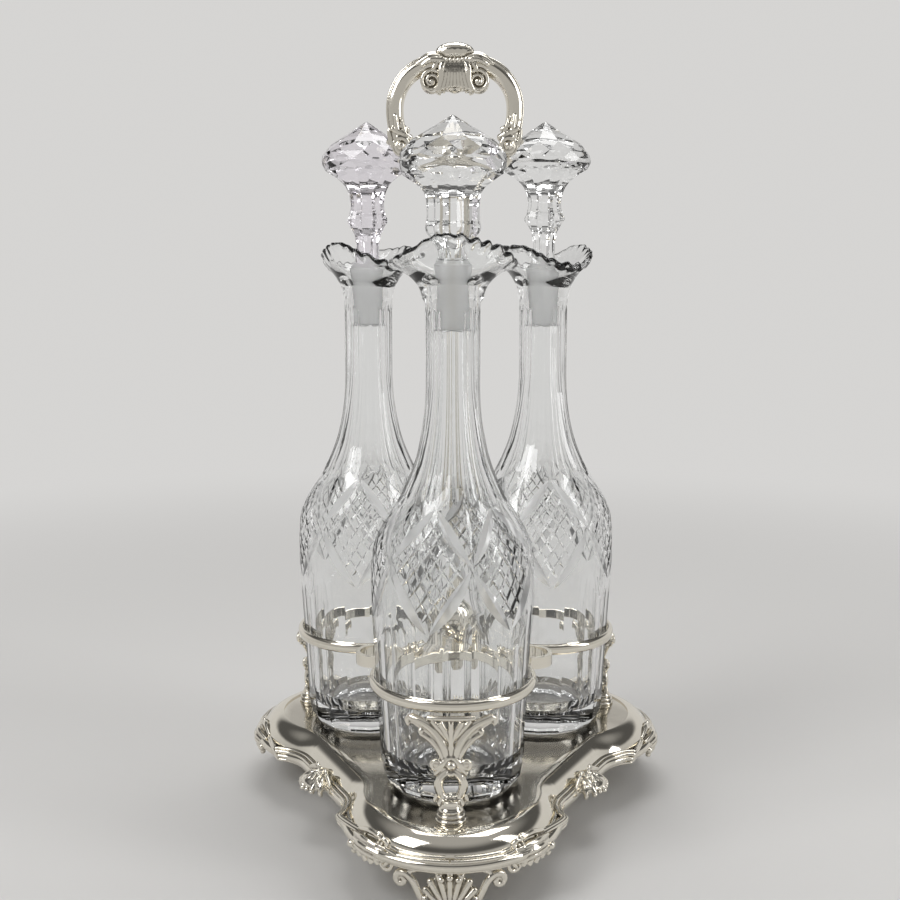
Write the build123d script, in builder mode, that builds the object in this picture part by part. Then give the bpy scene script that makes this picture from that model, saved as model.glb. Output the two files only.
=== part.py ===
from build123d import *
from math import cos, pi, radians, sin, sqrt, tan
import os

# A decanter stand: a lobed tray on shell feet, three ring holders on scroll brackets, a central
# column with a scrolled handle, and three cut-glass decanters with stoppers.
# Millimetres, +Z up, table at z = 0, +Y to the back. The front lobe points to -Y.
# Every piece is modelled around the stand's own axis, and pieces that repeat are modelled on the
# +X side, where each is described, and turned from there to their places.

# Places around the stand, in degrees
lobe_angles = {"front": -90, "right": 30, "left": 150}
side_angles = {"back": 90, "left": 210, "right": -30}
corner_sides = {"near": -1, "far": 1}
decanter_distance = 60.0  # stand axis to decanter axis

# Tray
floor_height = 40.0
lobe_distance = 77.0  # stand axis to the centre of each round lobe
lobe_radius = 43.0
side_distance = 71.0  # stand axis to the straight sides of the floor
waist_fillet = 38.0
floor_thickness = 2.5
border_width = 11.5
border_drop = 8.0
border_lip = 0.9
border_wall = 2.2
border_crown = 0.58  # where the convex border is measured across, and how far it has fallen there
border_hollow = 0.46
border_fall = 0.2
rim_width = 5.0
rim_height = 6.0

# Feet
foot_thickness = 5.5
shell_radius = 12.5
foot_pad_width = 17.0
foot_pad_height = 3.0
foot_leg_width = 3.4
foot_scroll_radius = 3.0
foot_scroll_reach = 24.0
foot_scroll_drop = 7.5  # scroll centre below the rim
foot_fixing_width = 64.0
foot_fixing_height = 2.5
pendant_radius = 4.0
pendant_reach = 32.5
pendant_drop = 1.5  # pendant scroll's centre below the rim
shell_grooves = 8
shell_fan = 116.0  # angle that the grooves fan over, from the shell's hinge
shell_groove_width = 1.0
shell_groove_depth = 0.9

# Ornament on the rim
corner_angle = 46.0  # around the lobe's centre, from the lobe's own direction
corner_length = 25.0
corner_height = 12.0
corner_projection = 4.0
corner_pearl_radius = 2.6
side_leaf_width = 27.0
side_leaf_reach = 14.0
side_leaf_drop = 12.0
side_leaf_thickness = 4.0
side_leaf_fingers = 5
side_leaf_fan = 112.0  # angle that the fingers fan over
side_leaf_finger_width = 8.4
side_leaf_palm = 8.0

# Rings, heights above the tray floor
ring_radius = 45.0
ring_band = 3.0
ring_height = 6.5
ring_top = 60.0
stopper_ring_radius = 11.8
stopper_ring_band = 2.6
braze_depth = 0.8  # how far a stopper ring is cut to seat against a decanter ring
hub_radius = 20.0

# Brackets, heights above the tray floor
bracket_inset = 2.5  # how far the strap reaches in under the ring
bracket_strap = 4.6
bracket_bar = 3.6
bracket_spread = 22.0
bracket_fork_height = 31.0
bracket_tip_radius = 2.4
bracket_knot_width = 17.0
bracket_knot_height = 11.0
bracket_oval_width = 13.5
bracket_oval_height = 16.5
bracket_shank_width = 8.0
bracket_foot_radius = 7.4
bracket_foot_height = 7.5
bracket_foot_offset = 3.0  # foot centre beyond the ring's outside

# Column and handle, heights above the tray floor
column_radius = 3.6
column_top = 318.0
knop_radius = 11.5
knop_height = 30.0
nut_radius = 7.5
nut_height = 9.0
stem_radius = 6.0
stem_height = 13.0
yoke_radius = 3.4
handle_half_width = 38.0
handle_bar_radius = 4.8
handle_mid_height = 362.0
handle_top_height = 391.0
handle_low_height = 344.5
handle_low_curve = 50.0  # curve radius of each bar below its widest point
low_scroll_radius = 5.2
low_scroll_inset = 3.6
low_scroll_height = 341.5
top_scroll_radius = 5.6
top_scroll_offset = 12.8
top_scroll_height = 377.0
scroll_width = 7.6
crest_top = 398.0
crest_half_width = 9.0
crest_bottom = 369.0
crest_depth = 9.0

# Decanters: a rise is measured from the height named before it, starting at the decanter's base
seat_gap = 0.2
base_radius = 36.6
heel_radius = 38.4
heel_height = 4.0
wall_top_radius = 42.4
wall_top_height = 80.0
belly_radius = 43.3
belly_rise = 28.0
shoulder_radius = 42.2
shoulder_rise = 20.0
shoulder_curve = [(35.8, 15.0), (23.4, 37.0), (16.8, 59.0)]  # radius, and rise from the shoulder
neck_radius = 14.2
neck_rise = 84.0
neck_length = 45.0
flare_rise = 15.5  # to where the flare has spread out level
lip_turn_rise = 5.0
lip_rise = 12.5  # to the crests of the saddle-shaped lip
lip_saddle = 10.5  # how far it dips at its two low sides
lip_edge = 3.2
lip_draft = 0.5
lip_slope = 4.5  # how far the lip's inner face slopes in before the mouth curves down
lip_scallops = 22
lip_scallop_radius = 5.0
lip_scallop_depth = 1.8
lip_reach = {"front": 32.4, "right": 30.0, "left": 28.8}
spout_turn = {"front": 90, "right": 90, "left": 165}  # low side of the lip, from the outward direction
glass_wall = 4.6
glass_base = 13.0
inner_heel_width = 4.0
inner_heel_height = 6.0
bore_radius = 8.4
bore_drop = 7.0  # lower end of the bore, below the neck
body_flutes = 18
body_flute_depth = 0.65
body_flute_drop = 14.0  # tips of their arches, below the belly
neck_flutes = 12

# Cut lozenges around the shoulder: each side is one stroke of a V-edged wheel between two corners
lozenges = 6
lozenge_top = 0.32  # share of the way up the shoulder's curve
lozenge_bottom = 0.25  # share of the way around the belly's curve
wheel_half_angle = 46.0
wheel_lean = 22.0  # away from the lozenge
wheel_height = 6.0
wheel_depth = 0.3  # at the corners; the glass curves out over the middle of a stroke
wheel_overrun = 2.5

# Stoppers
plug_depth = 14.0  # below the flare
plug_length = 33.0
plug_low_radius = 8.0
plug_high_radius = 10.0
plug_clearance = 0.15
plug_shoulder = 3.0
seat_rise = 9.0  # above the flare's start
shank_radius = {"front": 7.5, "right": 6.4, "left": 7.1}
stopper_knop_radius = {"front": 14.2, "right": 11.7, "left": 12.4}
stopper_knop_rise = {"front": 10.5, "right": 16.0, "left": 15.5}  # above the lip
stopper_waist_radius = {"front": 13.0, "right": 10.3, "left": 11.2}
stopper_waist_rise = 8.5  # above the knop
head_radius = {"front": 27.3, "right": 26.4, "left": 26.2}
head_rise = {"front": 28.0, "right": 38.5, "left": 38.5}  # underside above the lip
head_under_inset = 6.5
head_low_rise = 4.5  # lower and upper edges of the head's rim, above its underside
head_high_rise = 10.5
stopper_rise = {"front": 59.7, "right": 69.5, "left": 69.8}  # above the lip
apex_share = 0.16  # width of the head's small top facets
apex_drop = 2.0
head_facets = 12
stem_facets = 8
facet_step = 0.4  # from the facets' corners out to the turned blank
stem_flare = 2.6  # how far the stem has spread halfway to the head
stem_spread = 3.0  # how far past the rim the stem's flats run out

# Heights on a decanter and its stopper, above the decanter's base
belly_height = wall_top_height + belly_rise
shoulder_height = belly_height + shoulder_rise
neck_height = shoulder_height + neck_rise
flare_height = neck_height + neck_length
lip_under = flare_height + flare_rise
lip_turn_up = lip_under + lip_turn_rise
lip_height = lip_turn_up + lip_rise
lip_spout_height = lip_height - lip_saddle
bore_height = neck_height - bore_drop
body_flute_top = belly_height - body_flute_drop
plug_bottom = flare_height - plug_depth
plug_top = plug_bottom + plug_length
seat_top = flare_height + seat_rise

rim_bottom = floor_height - border_drop - rim_height
rim_reach = border_width + rim_width
rim_outside = lobe_radius + rim_reach
ring_bottom = floor_height + ring_top - ring_height
decanter_floor = floor_height + seat_gap

pieces = []


def place(piece, label, angle=0):
    """Turn a piece around the stand's axis to its place and name it."""
    with BuildPart() as placed:
        with Locations(Location((0, 0, 0), (0, 0, angle))):
            add(piece)
    placed.part.label = label
    pieces.append(placed.part)


def section_plane(path):
    """The plane across a level path at its start: x points outward, y points up."""
    along = path % 0
    return Plane(path @ 0, x_dir=along.cross(Vector(0, 0, 1)), z_dir=-along)


# Floor outline: three round lobes joined by straight sides
with BuildSketch(Plane.XY.offset(floor_height)) as floor_outline:
    RegularPolygon(side_distance, 3, major_radius=False)
    Circle((lobe_distance + side_distance) * 0.6, mode=Mode.INTERSECT)
    with PolarLocations(lobe_distance, 3):
        Circle(lobe_radius)
    fillet(floor_outline.vertices(), waist_fillet)

floor_path = floor_outline.sketch.face().outer_wire()

# Tray: a flat floor inside a convex border
with BuildPart() as base_tray:
    extrude(floor_outline.sketch, amount=-floor_thickness)
    with BuildSketch(section_plane(floor_path)) as border_section:
        with BuildLine():
            ThreePointArc(
                (-1, border_lip),
                (border_width * border_crown, -border_drop * border_fall),
                (border_width, -border_drop),
            )
            Line((border_width, -border_drop), (border_width - border_wall, -border_drop))
            ThreePointArc(
                (border_width - border_wall, -border_drop),
                (border_width * border_hollow, -border_drop * border_fall - border_wall * 0.8),
                (-1, -floor_thickness),
            )
            Line((-1, -floor_thickness), (-1, border_lip))
        make_face()
    sweep(border_section.sketch, path=floor_path)

place(base_tray.part, "base_tray", lobe_angles["front"])

# Rim moulding: a fillet step and a half-round bead under the border's edge
with BuildPart() as rim_moulding:
    with BuildSketch(section_plane(floor_path)) as rim_section:
        with BuildLine():
            rim_inside = Polyline(
                (border_width + 1.2, -border_drop - 1.2),
                (border_width + 1.2, -border_drop),
                (border_width - border_wall, -border_drop),
                (border_width - border_wall, -border_drop - rim_height),
                (rim_reach - 1.6, -border_drop - rim_height),
            )
            ThreePointArc(rim_inside @ 1, (rim_reach, -border_drop - rim_height * 0.55), rim_inside @ 0)
        make_face()
    sweep(rim_section.sketch, path=floor_path)

place(rim_moulding.part, "rim_moulding", lobe_angles["front"])

# Foot: a scallop shell between two scrolled legs, curved to follow the lobe
foot_outside = rim_outside - 1.6
shell_centre = foot_pad_height + shell_radius * 0.72
scroll_height = rim_bottom - foot_scroll_drop
pendant_height = rim_bottom - pendant_drop
with BuildPart() as foot:
    with BuildSketch(Plane.YZ.offset(lobe_distance)) as foot_front:
        with Locations((0, shell_centre)):
            Circle(shell_radius)
        with Locations((0, foot_pad_height / 2)):
            Rectangle(foot_pad_width, foot_pad_height)
        with Locations((0, rim_bottom - foot_fixing_height / 2)):
            Rectangle(foot_fixing_width, foot_fixing_height)
        with BuildLine() as foot_legs:
            ThreePointArc(
                (shell_radius * 0.6, shell_centre),
                (foot_scroll_reach * 0.7, scroll_height + foot_leg_width),
                (foot_scroll_reach, scroll_height),
            )
            mirror(about=Plane.YZ)
        trace(foot_legs.edges(), line_width=foot_leg_width)
        with Locations((foot_scroll_reach, scroll_height), (-foot_scroll_reach, scroll_height)):
            Circle(foot_scroll_radius)
        with Locations((pendant_reach, pendant_height), (-pendant_reach, pendant_height)):
            Circle(pendant_radius)
        with Locations((0, rim_bottom / 2)):
            Rectangle(foot_fixing_width + 2 * shell_radius, rim_bottom, mode=Mode.INTERSECT)
    extrude(foot_front.sketch, amount=foot_outside)
    with BuildSketch(Plane((lobe_distance, 0, 0))) as foot_curve:
        Circle(foot_outside)
        Circle(foot_outside - foot_thickness, mode=Mode.SUBTRACT)
    extrude(foot_curve.sketch, amount=rim_bottom, mode=Mode.INTERSECT)

# Shell grooves: a shallow fan cut into the shell's curved front
with BuildPart() as shell_fan_cutter:
    with BuildSketch(Plane.YZ.offset(lobe_distance)) as groove_fan:
        with Locations((0, foot_pad_height)):
            with PolarLocations(
                shell_radius * 1.1, shell_grooves, 90 - shell_fan / 2, shell_fan, endpoint=True
            ):
                Rectangle(shell_radius * 1.5, shell_groove_width)
    extrude(groove_fan.sketch, amount=2 * foot_outside)
    with BuildSketch(Plane((lobe_distance, 0, 0))) as groove_curve:
        Circle(2 * foot_outside)
        Circle(foot_outside - shell_groove_depth, mode=Mode.SUBTRACT)
    extrude(groove_curve.sketch, amount=2 * rim_bottom, mode=Mode.INTERSECT)

with BuildPart() as ribbed_foot:
    add(foot.part)
    add(shell_fan_cutter.part, mode=Mode.SUBTRACT)

for name, angle in lobe_angles.items():
    place(ribbed_foot.part, f"foot_{name}", angle)

# Corner mounts: a leaf with a pearl at its tip, seated over the moulding at both ends of a lobe
corner_inside = lobe_radius + border_width - border_wall + 0.2
for side, sign in corner_sides.items():
    turn = sign * radians(corner_angle)
    outward = Vector(cos(turn), sin(turn), 0)
    corner_spot = Vector(lobe_distance, 0, rim_bottom + rim_height / 2) + outward * corner_inside
    with BuildPart() as corner_mount:
        with BuildSketch(Plane(corner_spot, x_dir=(-sin(turn), cos(turn), 0), z_dir=outward)) as leaf_outline:
            Ellipse(corner_length / 2, corner_height / 2)
            with Locations((sign * corner_length * 0.42, -corner_height * 0.3)):
                Circle(corner_pearl_radius)
        extrude(leaf_outline.sketch, amount=rim_outside - corner_inside + corner_projection)
        add(rim_moulding.part, mode=Mode.SUBTRACT)
        add(base_tray.part, mode=Mode.SUBTRACT)
        add(foot.part, mode=Mode.SUBTRACT)
    for name, angle in lobe_angles.items():
        place(corner_mount.part, f"corner_mount_{name}_{side}", angle)

# Side mounts: an acanthus leaf that curls out and down at the middle of each side
side_outside = side_distance + rim_reach
half_turn = Location((0, 0, 0), (0, 0, 180))
leaf_top = floor_height - border_drop + 1.5
finger_reach = (side_leaf_reach + 1) * 0.6
finger_centre = (side_leaf_reach + 1) * 0.4
with BuildPart() as side_mount:
    with BuildSketch(Plane.XZ) as leaf_side:
        with BuildLine():
            leaf_upper = ThreePointArc(
                (side_outside - rim_width, leaf_top),
                (side_outside + side_leaf_reach * 0.55, leaf_top - side_leaf_drop * 0.2),
                (side_outside + side_leaf_reach, leaf_top - side_leaf_drop),
            )
            leaf_lower = ThreePointArc(
                (side_outside + side_leaf_reach - side_leaf_thickness, leaf_top - side_leaf_drop),
                (side_outside + side_leaf_reach * 0.3, leaf_top - side_leaf_drop * 0.45),
                (side_outside - rim_width, rim_bottom + 2),
            )
            Line(leaf_upper @ 0, leaf_lower @ 1)
            Line(leaf_upper @ 1, leaf_lower @ 0)
        make_face()
    extrude(leaf_side.sketch, amount=side_leaf_width / 2, both=True)
    with BuildSketch(Plane.XY) as leaf_plan:
        with Locations((side_outside, 0)):
            Circle(side_leaf_palm)
            with PolarLocations(
                finger_centre, side_leaf_fingers, -side_leaf_fan / 2, side_leaf_fan, endpoint=True
            ):
                Ellipse(finger_reach, side_leaf_finger_width / 2)
    extrude(leaf_plan.sketch, amount=floor_height, mode=Mode.INTERSECT)
    with Locations(half_turn):
        add(rim_moulding.part, mode=Mode.SUBTRACT)
        add(base_tray.part, mode=Mode.SUBTRACT)

for name, angle in side_angles.items():
    place(side_mount.part, f"side_mount_{name}", angle)

# Decanter ring: a flat band, rounded on its outside edges
with BuildPart() as ring:
    with BuildSketch(Plane.XZ) as ring_section:
        with Locations((decanter_distance + ring_radius - ring_band / 2, ring_bottom + ring_height / 2)):
            Rectangle(ring_band, ring_height)
        fillet(ring_section.vertices().group_by(Axis.X)[-1], ring_band * 0.4)
    revolve(axis=Axis((decanter_distance, 0, 0), (0, 0, 1)))

for name, angle in lobe_angles.items():
    place(ring.part, f"ring_{name}", angle)

# Stopper ring: a small ring in the gap between two decanter rings, cut to seat against both
ring_half_pitch = decanter_distance * sin(pi / 3)
stopper_ring_spread = decanter_distance / 2 + sqrt(
    (ring_radius + stopper_ring_radius - braze_depth) ** 2 - ring_half_pitch**2
)
with BuildPart() as stopper_ring:
    with BuildSketch(Plane((stopper_ring_spread, 0, ring_bottom))) as stopper_ring_plan:
        Circle(stopper_ring_radius)
        Circle(stopper_ring_radius - stopper_ring_band, mode=Mode.SUBTRACT)
    extrude(stopper_ring_plan.sketch, amount=ring_height)
    with BuildSketch(Plane.XY.offset(ring_bottom)) as ring_seats:
        with Locations((decanter_distance / 2, ring_half_pitch), (decanter_distance / 2, -ring_half_pitch)):
            Circle(ring_radius)
    extrude(ring_seats.sketch, amount=ring_height, mode=Mode.SUBTRACT)

for name, angle in side_angles.items():
    place(stopper_ring.part, f"stopper_ring_{name}", angle)

# Ring hub: a three-horned plate that fills the middle between the rings, bored for the column
with BuildPart() as ring_hub:
    with BuildSketch(Plane.XY.offset(ring_bottom)) as hub_plan:
        Circle(hub_radius)
        with PolarLocations(decanter_distance, 3):
            Circle(ring_radius, mode=Mode.SUBTRACT)
        Circle(column_radius, mode=Mode.SUBTRACT)
    extrude(hub_plan.sketch, amount=ring_height)

place(ring_hub.part, "ring_hub", lobe_angles["front"])

# Knop: a baluster sleeve on the column, standing on the hub
knop_bottom = floor_height + ring_top
with BuildPart() as column_knop:
    with BuildSketch(Plane.XZ) as knop_section:
        with BuildLine():
            knop_line = Polyline(
                (knop_radius * 0.55, knop_bottom + 5),
                (knop_radius * 0.8, knop_bottom + 3.5),
                (knop_radius * 0.8, knop_bottom),
                (column_radius, knop_bottom),
                (column_radius, knop_bottom + knop_height),
                (column_radius + 2.4, knop_bottom + knop_height),
                (column_radius + 1.4, knop_bottom + knop_height * 0.8),
            )
            ThreePointArc(
                knop_line @ 1,
                (knop_radius, knop_bottom + knop_height * 0.5),
                knop_line @ 0,
            )
        make_face()
    revolve(axis=Axis.Z)

place(column_knop.part, "column_knop")

# Column: a plain rod through the nut, the hub and the knop
with BuildPart() as column:
    with BuildSketch(Plane.XY.offset(ring_bottom - nut_height)) as column_plan:
        Circle(column_radius)
    extrude(column_plan.sketch, amount=floor_height + column_top - ring_bottom + nut_height)

place(column.part, "column")

# Nut: clamps the column to the hub from below
with BuildPart() as column_nut:
    with BuildSketch(Plane.XY.offset(ring_bottom - nut_height)) as nut_plan:
        RegularPolygon(nut_radius, 6, major_radius=False)
        Circle(column_radius, mode=Mode.SUBTRACT)
    extrude(nut_plan.sketch, amount=nut_height)

place(column_nut.part, "column_nut")

# Bracket: a forked scroll strap bent around the ring, with an open oval over a turned foot
bracket_strap_inside = ring_radius - bracket_inset
fork_curve = bracket_spread - bracket_bar / 2
arm_top = ring_bottom - bracket_bar / 2
fork_bottom = floor_height + bracket_fork_height
oval_centre = floor_height + bracket_foot_height + bracket_oval_height / 2 - 0.5
bracket_foot_spread = decanter_distance + ring_radius + bracket_foot_offset
with BuildPart() as bracket:
    with BuildSketch(Plane.YZ.offset(decanter_distance)) as bracket_front:
        with BuildLine() as bracket_arms:
            ThreePointArc(
                (bracket_bar / 2, fork_bottom),
                (
                    bracket_bar / 2 + fork_curve * (1 - cos(pi / 4)),
                    fork_bottom + (arm_top - fork_bottom) * sin(pi / 4),
                ),
                (bracket_spread, arm_top),
            )
            mirror(about=Plane.YZ)
        trace(bracket_arms.edges(), line_width=bracket_bar)
        with Locations((bracket_spread, arm_top - 0.6), (-bracket_spread, arm_top - 0.6)):
            Circle(bracket_tip_radius)
        with Locations((0, fork_bottom - bracket_knot_height / 2 + 1)):
            Ellipse(bracket_knot_width / 2, bracket_knot_height / 2)
        with Locations((0, oval_centre)):
            Ellipse(bracket_oval_width / 2, bracket_oval_height / 2)
            Ellipse(bracket_oval_width / 4, bracket_oval_height / 3.4, mode=Mode.SUBTRACT)
        with Locations((0, floor_height + bracket_foot_height - 1)):
            Rectangle(bracket_shank_width, 5)
        with Locations((0, ring_bottom / 2)):
            Rectangle(4 * bracket_spread, ring_bottom, mode=Mode.INTERSECT)
    extrude(bracket_front.sketch, amount=2 * ring_radius)
    with BuildSketch(Plane((decanter_distance, 0, floor_height))) as bracket_curve:
        Circle(bracket_strap_inside + bracket_strap)
        Circle(bracket_strap_inside, mode=Mode.SUBTRACT)
    extrude(bracket_curve.sketch, amount=ring_bottom - floor_height, mode=Mode.INTERSECT)
    with BuildSketch(Plane.XZ) as bracket_foot_section:
        with BuildLine():
            foot_line = Polyline(
                (bracket_foot_spread + bracket_foot_radius, floor_height + 2),
                (bracket_foot_spread + bracket_foot_radius, floor_height),
                (bracket_foot_spread, floor_height),
                (bracket_foot_spread, floor_height + bracket_foot_height),
                (bracket_foot_spread + bracket_foot_radius * 0.6, floor_height + bracket_foot_height),
            )
            ThreePointArc(
                foot_line @ 1,
                (bracket_foot_spread + bracket_foot_radius * 0.72, floor_height + bracket_foot_height * 0.55),
                foot_line @ 0,
            )
        make_face()
    revolve(bracket_foot_section.sketch, axis=Axis((bracket_foot_spread, 0, 0), (0, 0, 1)))

for name, angle in lobe_angles.items():
    place(bracket.part, f"bracket_{name}", angle)

# Handle bow: a C-shaped bar that ends in a scroll below and another beside the crest
bar_reach = handle_half_width - handle_bar_radius
bar_top = floor_height + handle_top_height - handle_bar_radius
bar_middle = floor_height + handle_mid_height
top_curve = bar_top - bar_middle
low_drop = handle_mid_height - handle_low_height
low_inset = handle_low_curve - sqrt(handle_low_curve**2 - low_drop**2)
half_low_drop = low_drop / 2
with BuildPart() as handle_bow:
    with BuildLine(Plane.XZ) as bow_line:
        low_arc = ThreePointArc(
            (bar_reach - low_inset, bar_middle - low_drop),
            (
                bar_reach - handle_low_curve + sqrt(handle_low_curve**2 - half_low_drop**2),
                bar_middle - half_low_drop,
            ),
            (bar_reach, bar_middle),
        )
        TangentArc((bar_reach, bar_middle), (bar_reach - top_curve, bar_top), tangent=(0, 1))
    with BuildSketch(Plane(bow_line.line @ 0, z_dir=bow_line.line % 0)) as bow_section:
        Circle(handle_bar_radius)
    sweep(bow_section.sketch, path=bow_line.line)
    with BuildSketch(Plane.XZ) as bow_scrolls:
        with Locations((bar_reach - low_scroll_inset, floor_height + low_scroll_height)):
            Circle(low_scroll_radius)
        with Locations((top_scroll_offset, floor_height + top_scroll_height)):
            Circle(top_scroll_radius)
    extrude(bow_scrolls.sketch, amount=scroll_width / 2, both=True)

with BuildPart() as handle_bow_left:
    mirror(handle_bow.part, about=Plane.YZ)

place(handle_bow.part, "handle_bow_right")
place(handle_bow_left.part, "handle_bow_left")

# Crest: a leafy shield between the two bows
with BuildPart() as handle_crest:
    with BuildSketch(Plane.XZ) as crest_front:
        with BuildLine():
            crest_line = Polyline(
                (crest_half_width, bar_top - handle_bar_radius),
                (crest_half_width, bar_top + handle_bar_radius),
                (crest_half_width * 0.8, floor_height + crest_top - 1.5),
            )
            ThreePointArc(
                crest_line @ 1,
                (0, floor_height + crest_top),
                (-crest_half_width * 0.8, floor_height + crest_top - 1.5),
            )
            mirror(crest_line, about=Plane.YZ)
            ThreePointArc(
                (crest_half_width, bar_top - handle_bar_radius),
                (0, floor_height + crest_bottom),
                (-crest_half_width, bar_top - handle_bar_radius),
            )
        make_face()
    extrude(crest_front.sketch, amount=crest_depth / 2, both=True)
    add(handle_bow.part, mode=Mode.SUBTRACT)
    add(handle_bow_left.part, mode=Mode.SUBTRACT)

place(handle_crest.part, "handle_crest")

# Yoke: the stem on the column, with two arms that carry the bows
stem_bottom = floor_height + column_top
yoke_tip = (bar_reach - low_scroll_inset, floor_height + low_scroll_height - low_scroll_radius)
with BuildPart() as handle_yoke:
    with BuildSketch(Plane.XZ) as stem_section:
        with BuildLine():
            stem_line = Polyline(
                (stem_radius, stem_bottom + 3),
                (stem_radius, stem_bottom),
                (0, stem_bottom),
                (0, stem_bottom + stem_height),
                (stem_radius * 0.5, stem_bottom + stem_height),
            )
            ThreePointArc(stem_line @ 1, (stem_radius * 0.85, stem_bottom + stem_height * 0.6), stem_line @ 0)
        make_face()
    revolve(axis=Axis.Z)
    with BuildLine(Plane.XZ) as yoke_line:
        ThreePointArc(
            (0, stem_bottom + stem_height - yoke_radius - 1),
            (yoke_tip[0] * 0.62, stem_bottom + stem_height * 0.75),
            yoke_tip,
        )
    with BuildSketch(Plane(yoke_line.line @ 0, z_dir=yoke_line.line % 0)) as yoke_section:
        Circle(yoke_radius)
    sweep(yoke_section.sketch, path=yoke_line.line)
    mirror(about=Plane.YZ)
    add(handle_bow.part, mode=Mode.SUBTRACT)
    add(handle_bow_left.part, mode=Mode.SUBTRACT)

place(handle_yoke.part, "handle_yoke")

# Bottle: a thick-based decanter body up to the top of its neck
outer_curve = [(radius, shoulder_height + rise) for radius, rise in shoulder_curve]
inner_curve = [(radius - glass_wall, height) for radius, height in reversed(outer_curve)]
inner_belly = belly_radius - glass_wall
inner_heel = heel_radius - glass_wall
with BuildLine() as shoulder_line:
    Spline(
        (shoulder_radius, shoulder_height),
        *outer_curve,
        (neck_radius, neck_height),
        tangents=((-0.2, 1), (0, 1)),
    )

with BuildLine() as belly_line:
    ThreePointArc(
        (wall_top_radius, wall_top_height),
        (belly_radius, belly_height),
        (shoulder_radius, shoulder_height),
    )

with BuildPart() as bottle:
    with BuildSketch(Plane.XZ) as bottle_section:
        with BuildLine():
            add(shoulder_line.line)
            add(belly_line.line)
            Polyline((0, 0), (base_radius, 0), (heel_radius, heel_height), (wall_top_radius, wall_top_height))
            Polyline(
                (neck_radius, neck_height),
                (neck_radius, flare_height),
                (bore_radius, flare_height),
                (bore_radius, bore_height),
            )
            Spline(
                (bore_radius, bore_height),
                *inner_curve,
                (shoulder_radius - glass_wall, shoulder_height),
                tangents=((0, -1), (0.2, -1)),
            )
            ThreePointArc(
                (shoulder_radius - glass_wall, shoulder_height),
                (inner_belly, belly_height),
                (wall_top_radius - glass_wall, wall_top_height),
            )
            Polyline(
                (wall_top_radius - glass_wall, wall_top_height),
                (inner_heel, glass_base + inner_heel_height),
                (inner_heel - inner_heel_width, glass_base),
                (0, glass_base),
                (0, 0),
            )
        make_face()
    revolve(axis=Axis.Z)

# Body flutes: flat cuts up the side that end in arches where the belly swells past them
with BuildPart() as body_flute_cutter:
    Cylinder(2 * belly_radius, body_flute_top, align=(Align.CENTER, Align.CENTER, Align.MIN))
    with BuildSketch(Plane.XY) as flute_foot:
        RegularPolygon(base_radius, body_flutes, major_radius=False)
    with BuildSketch(Plane.XY.offset(heel_height)) as flute_heel:
        RegularPolygon(heel_radius - body_flute_depth, body_flutes, major_radius=False)
    with BuildSketch(Plane.XY.offset(wall_top_height)) as flute_shoulder:
        RegularPolygon(wall_top_radius - body_flute_depth, body_flutes, major_radius=False)
    with BuildSketch(Plane.XY.offset(body_flute_top)) as flute_arch:
        RegularPolygon(belly_radius + 0.1, body_flutes, major_radius=False)
    loft(
        [flute_foot.sketch, flute_heel.sketch, flute_shoulder.sketch, flute_arch.sketch],
        ruled=True,
        mode=Mode.SUBTRACT,
    )

# Neck flutes: flats that follow the shoulder's curve and fade out into the shoulder below
neck_turns = [shoulder_line.line @ share for share in (0.5, 0.6, 0.7, 0.8, 0.9, 1.0)]
neck_flats = cos(pi / neck_flutes)
neck_sections = []
for turn_point in neck_turns:
    with BuildSketch(Plane.XY.offset(turn_point.Y)) as neck_polygon:
        RegularPolygon(turn_point.X * neck_flats, neck_flutes, major_radius=False)
    neck_sections.append(neck_polygon.sketch)
with BuildSketch(Plane.XY.offset(flare_height)) as neck_polygon:
    RegularPolygon(neck_radius * neck_flats, neck_flutes, major_radius=False)
neck_sections.append(neck_polygon.sketch)

with BuildPart() as neck_flute_cutter:
    with BuildSketch(Plane.XY.offset(neck_turns[0].Y)) as neck_blank:
        Circle(2 * neck_turns[0].X)
    extrude(neck_blank.sketch, amount=flare_height - neck_turns[0].Y)
    loft(neck_sections, ruled=True, mode=Mode.SUBTRACT)

# Lozenge cutter: 24 strokes of the wheel, each leaning away from its lozenge
top_corner = shoulder_line.line @ lozenge_top
side_corner = shoulder_line.line @ 0
bottom_corner = belly_line.line @ lozenge_bottom
wheel_half_width = wheel_height * tan(radians(wheel_half_angle))
half_lozenge = 180 / lozenges
with BuildPart() as lozenge_cutter:
    for panel in range(lozenges):
        middle = 360 / lozenges * panel
        corners = [
            Vector(top_corner.X, 0, top_corner.Y).rotate(Axis.Z, middle),
            Vector(side_corner.X, 0, side_corner.Y).rotate(Axis.Z, middle + half_lozenge),
            Vector(bottom_corner.X, 0, bottom_corner.Y).rotate(Axis.Z, middle),
            Vector(side_corner.X, 0, side_corner.Y).rotate(Axis.Z, middle - half_lozenge),
        ]
        for start, end in zip(corners, corners[1:] + corners[:1]):
            along = (end - start).normalized()
            outward = Vector(start.X + end.X, start.Y + end.Y, 0)
            side_direction = outward.cross(along).normalized()
            inward = along.cross(side_direction)
            stroke_start = start - along * wheel_overrun - inward * wheel_depth
            with BuildSketch(Plane(stroke_start, x_dir=side_direction, z_dir=along)) as wheel_edge:
                Polygon(
                    (0, 0),
                    (wheel_half_width, wheel_height),
                    (-wheel_half_width, wheel_height),
                    align=None,
                    rotation=-wheel_lean,
                )
            extrude(wheel_edge.sketch, amount=(end - start).length + 2 * wheel_overrun)

with BuildPart() as cut_bottle:
    add(bottle.part)
    add(body_flute_cutter.part, mode=Mode.SUBTRACT)
    add(neck_flute_cutter.part, mode=Mode.SUBTRACT)
    add(lozenge_cutter.part, mode=Mode.SUBTRACT)

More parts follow.
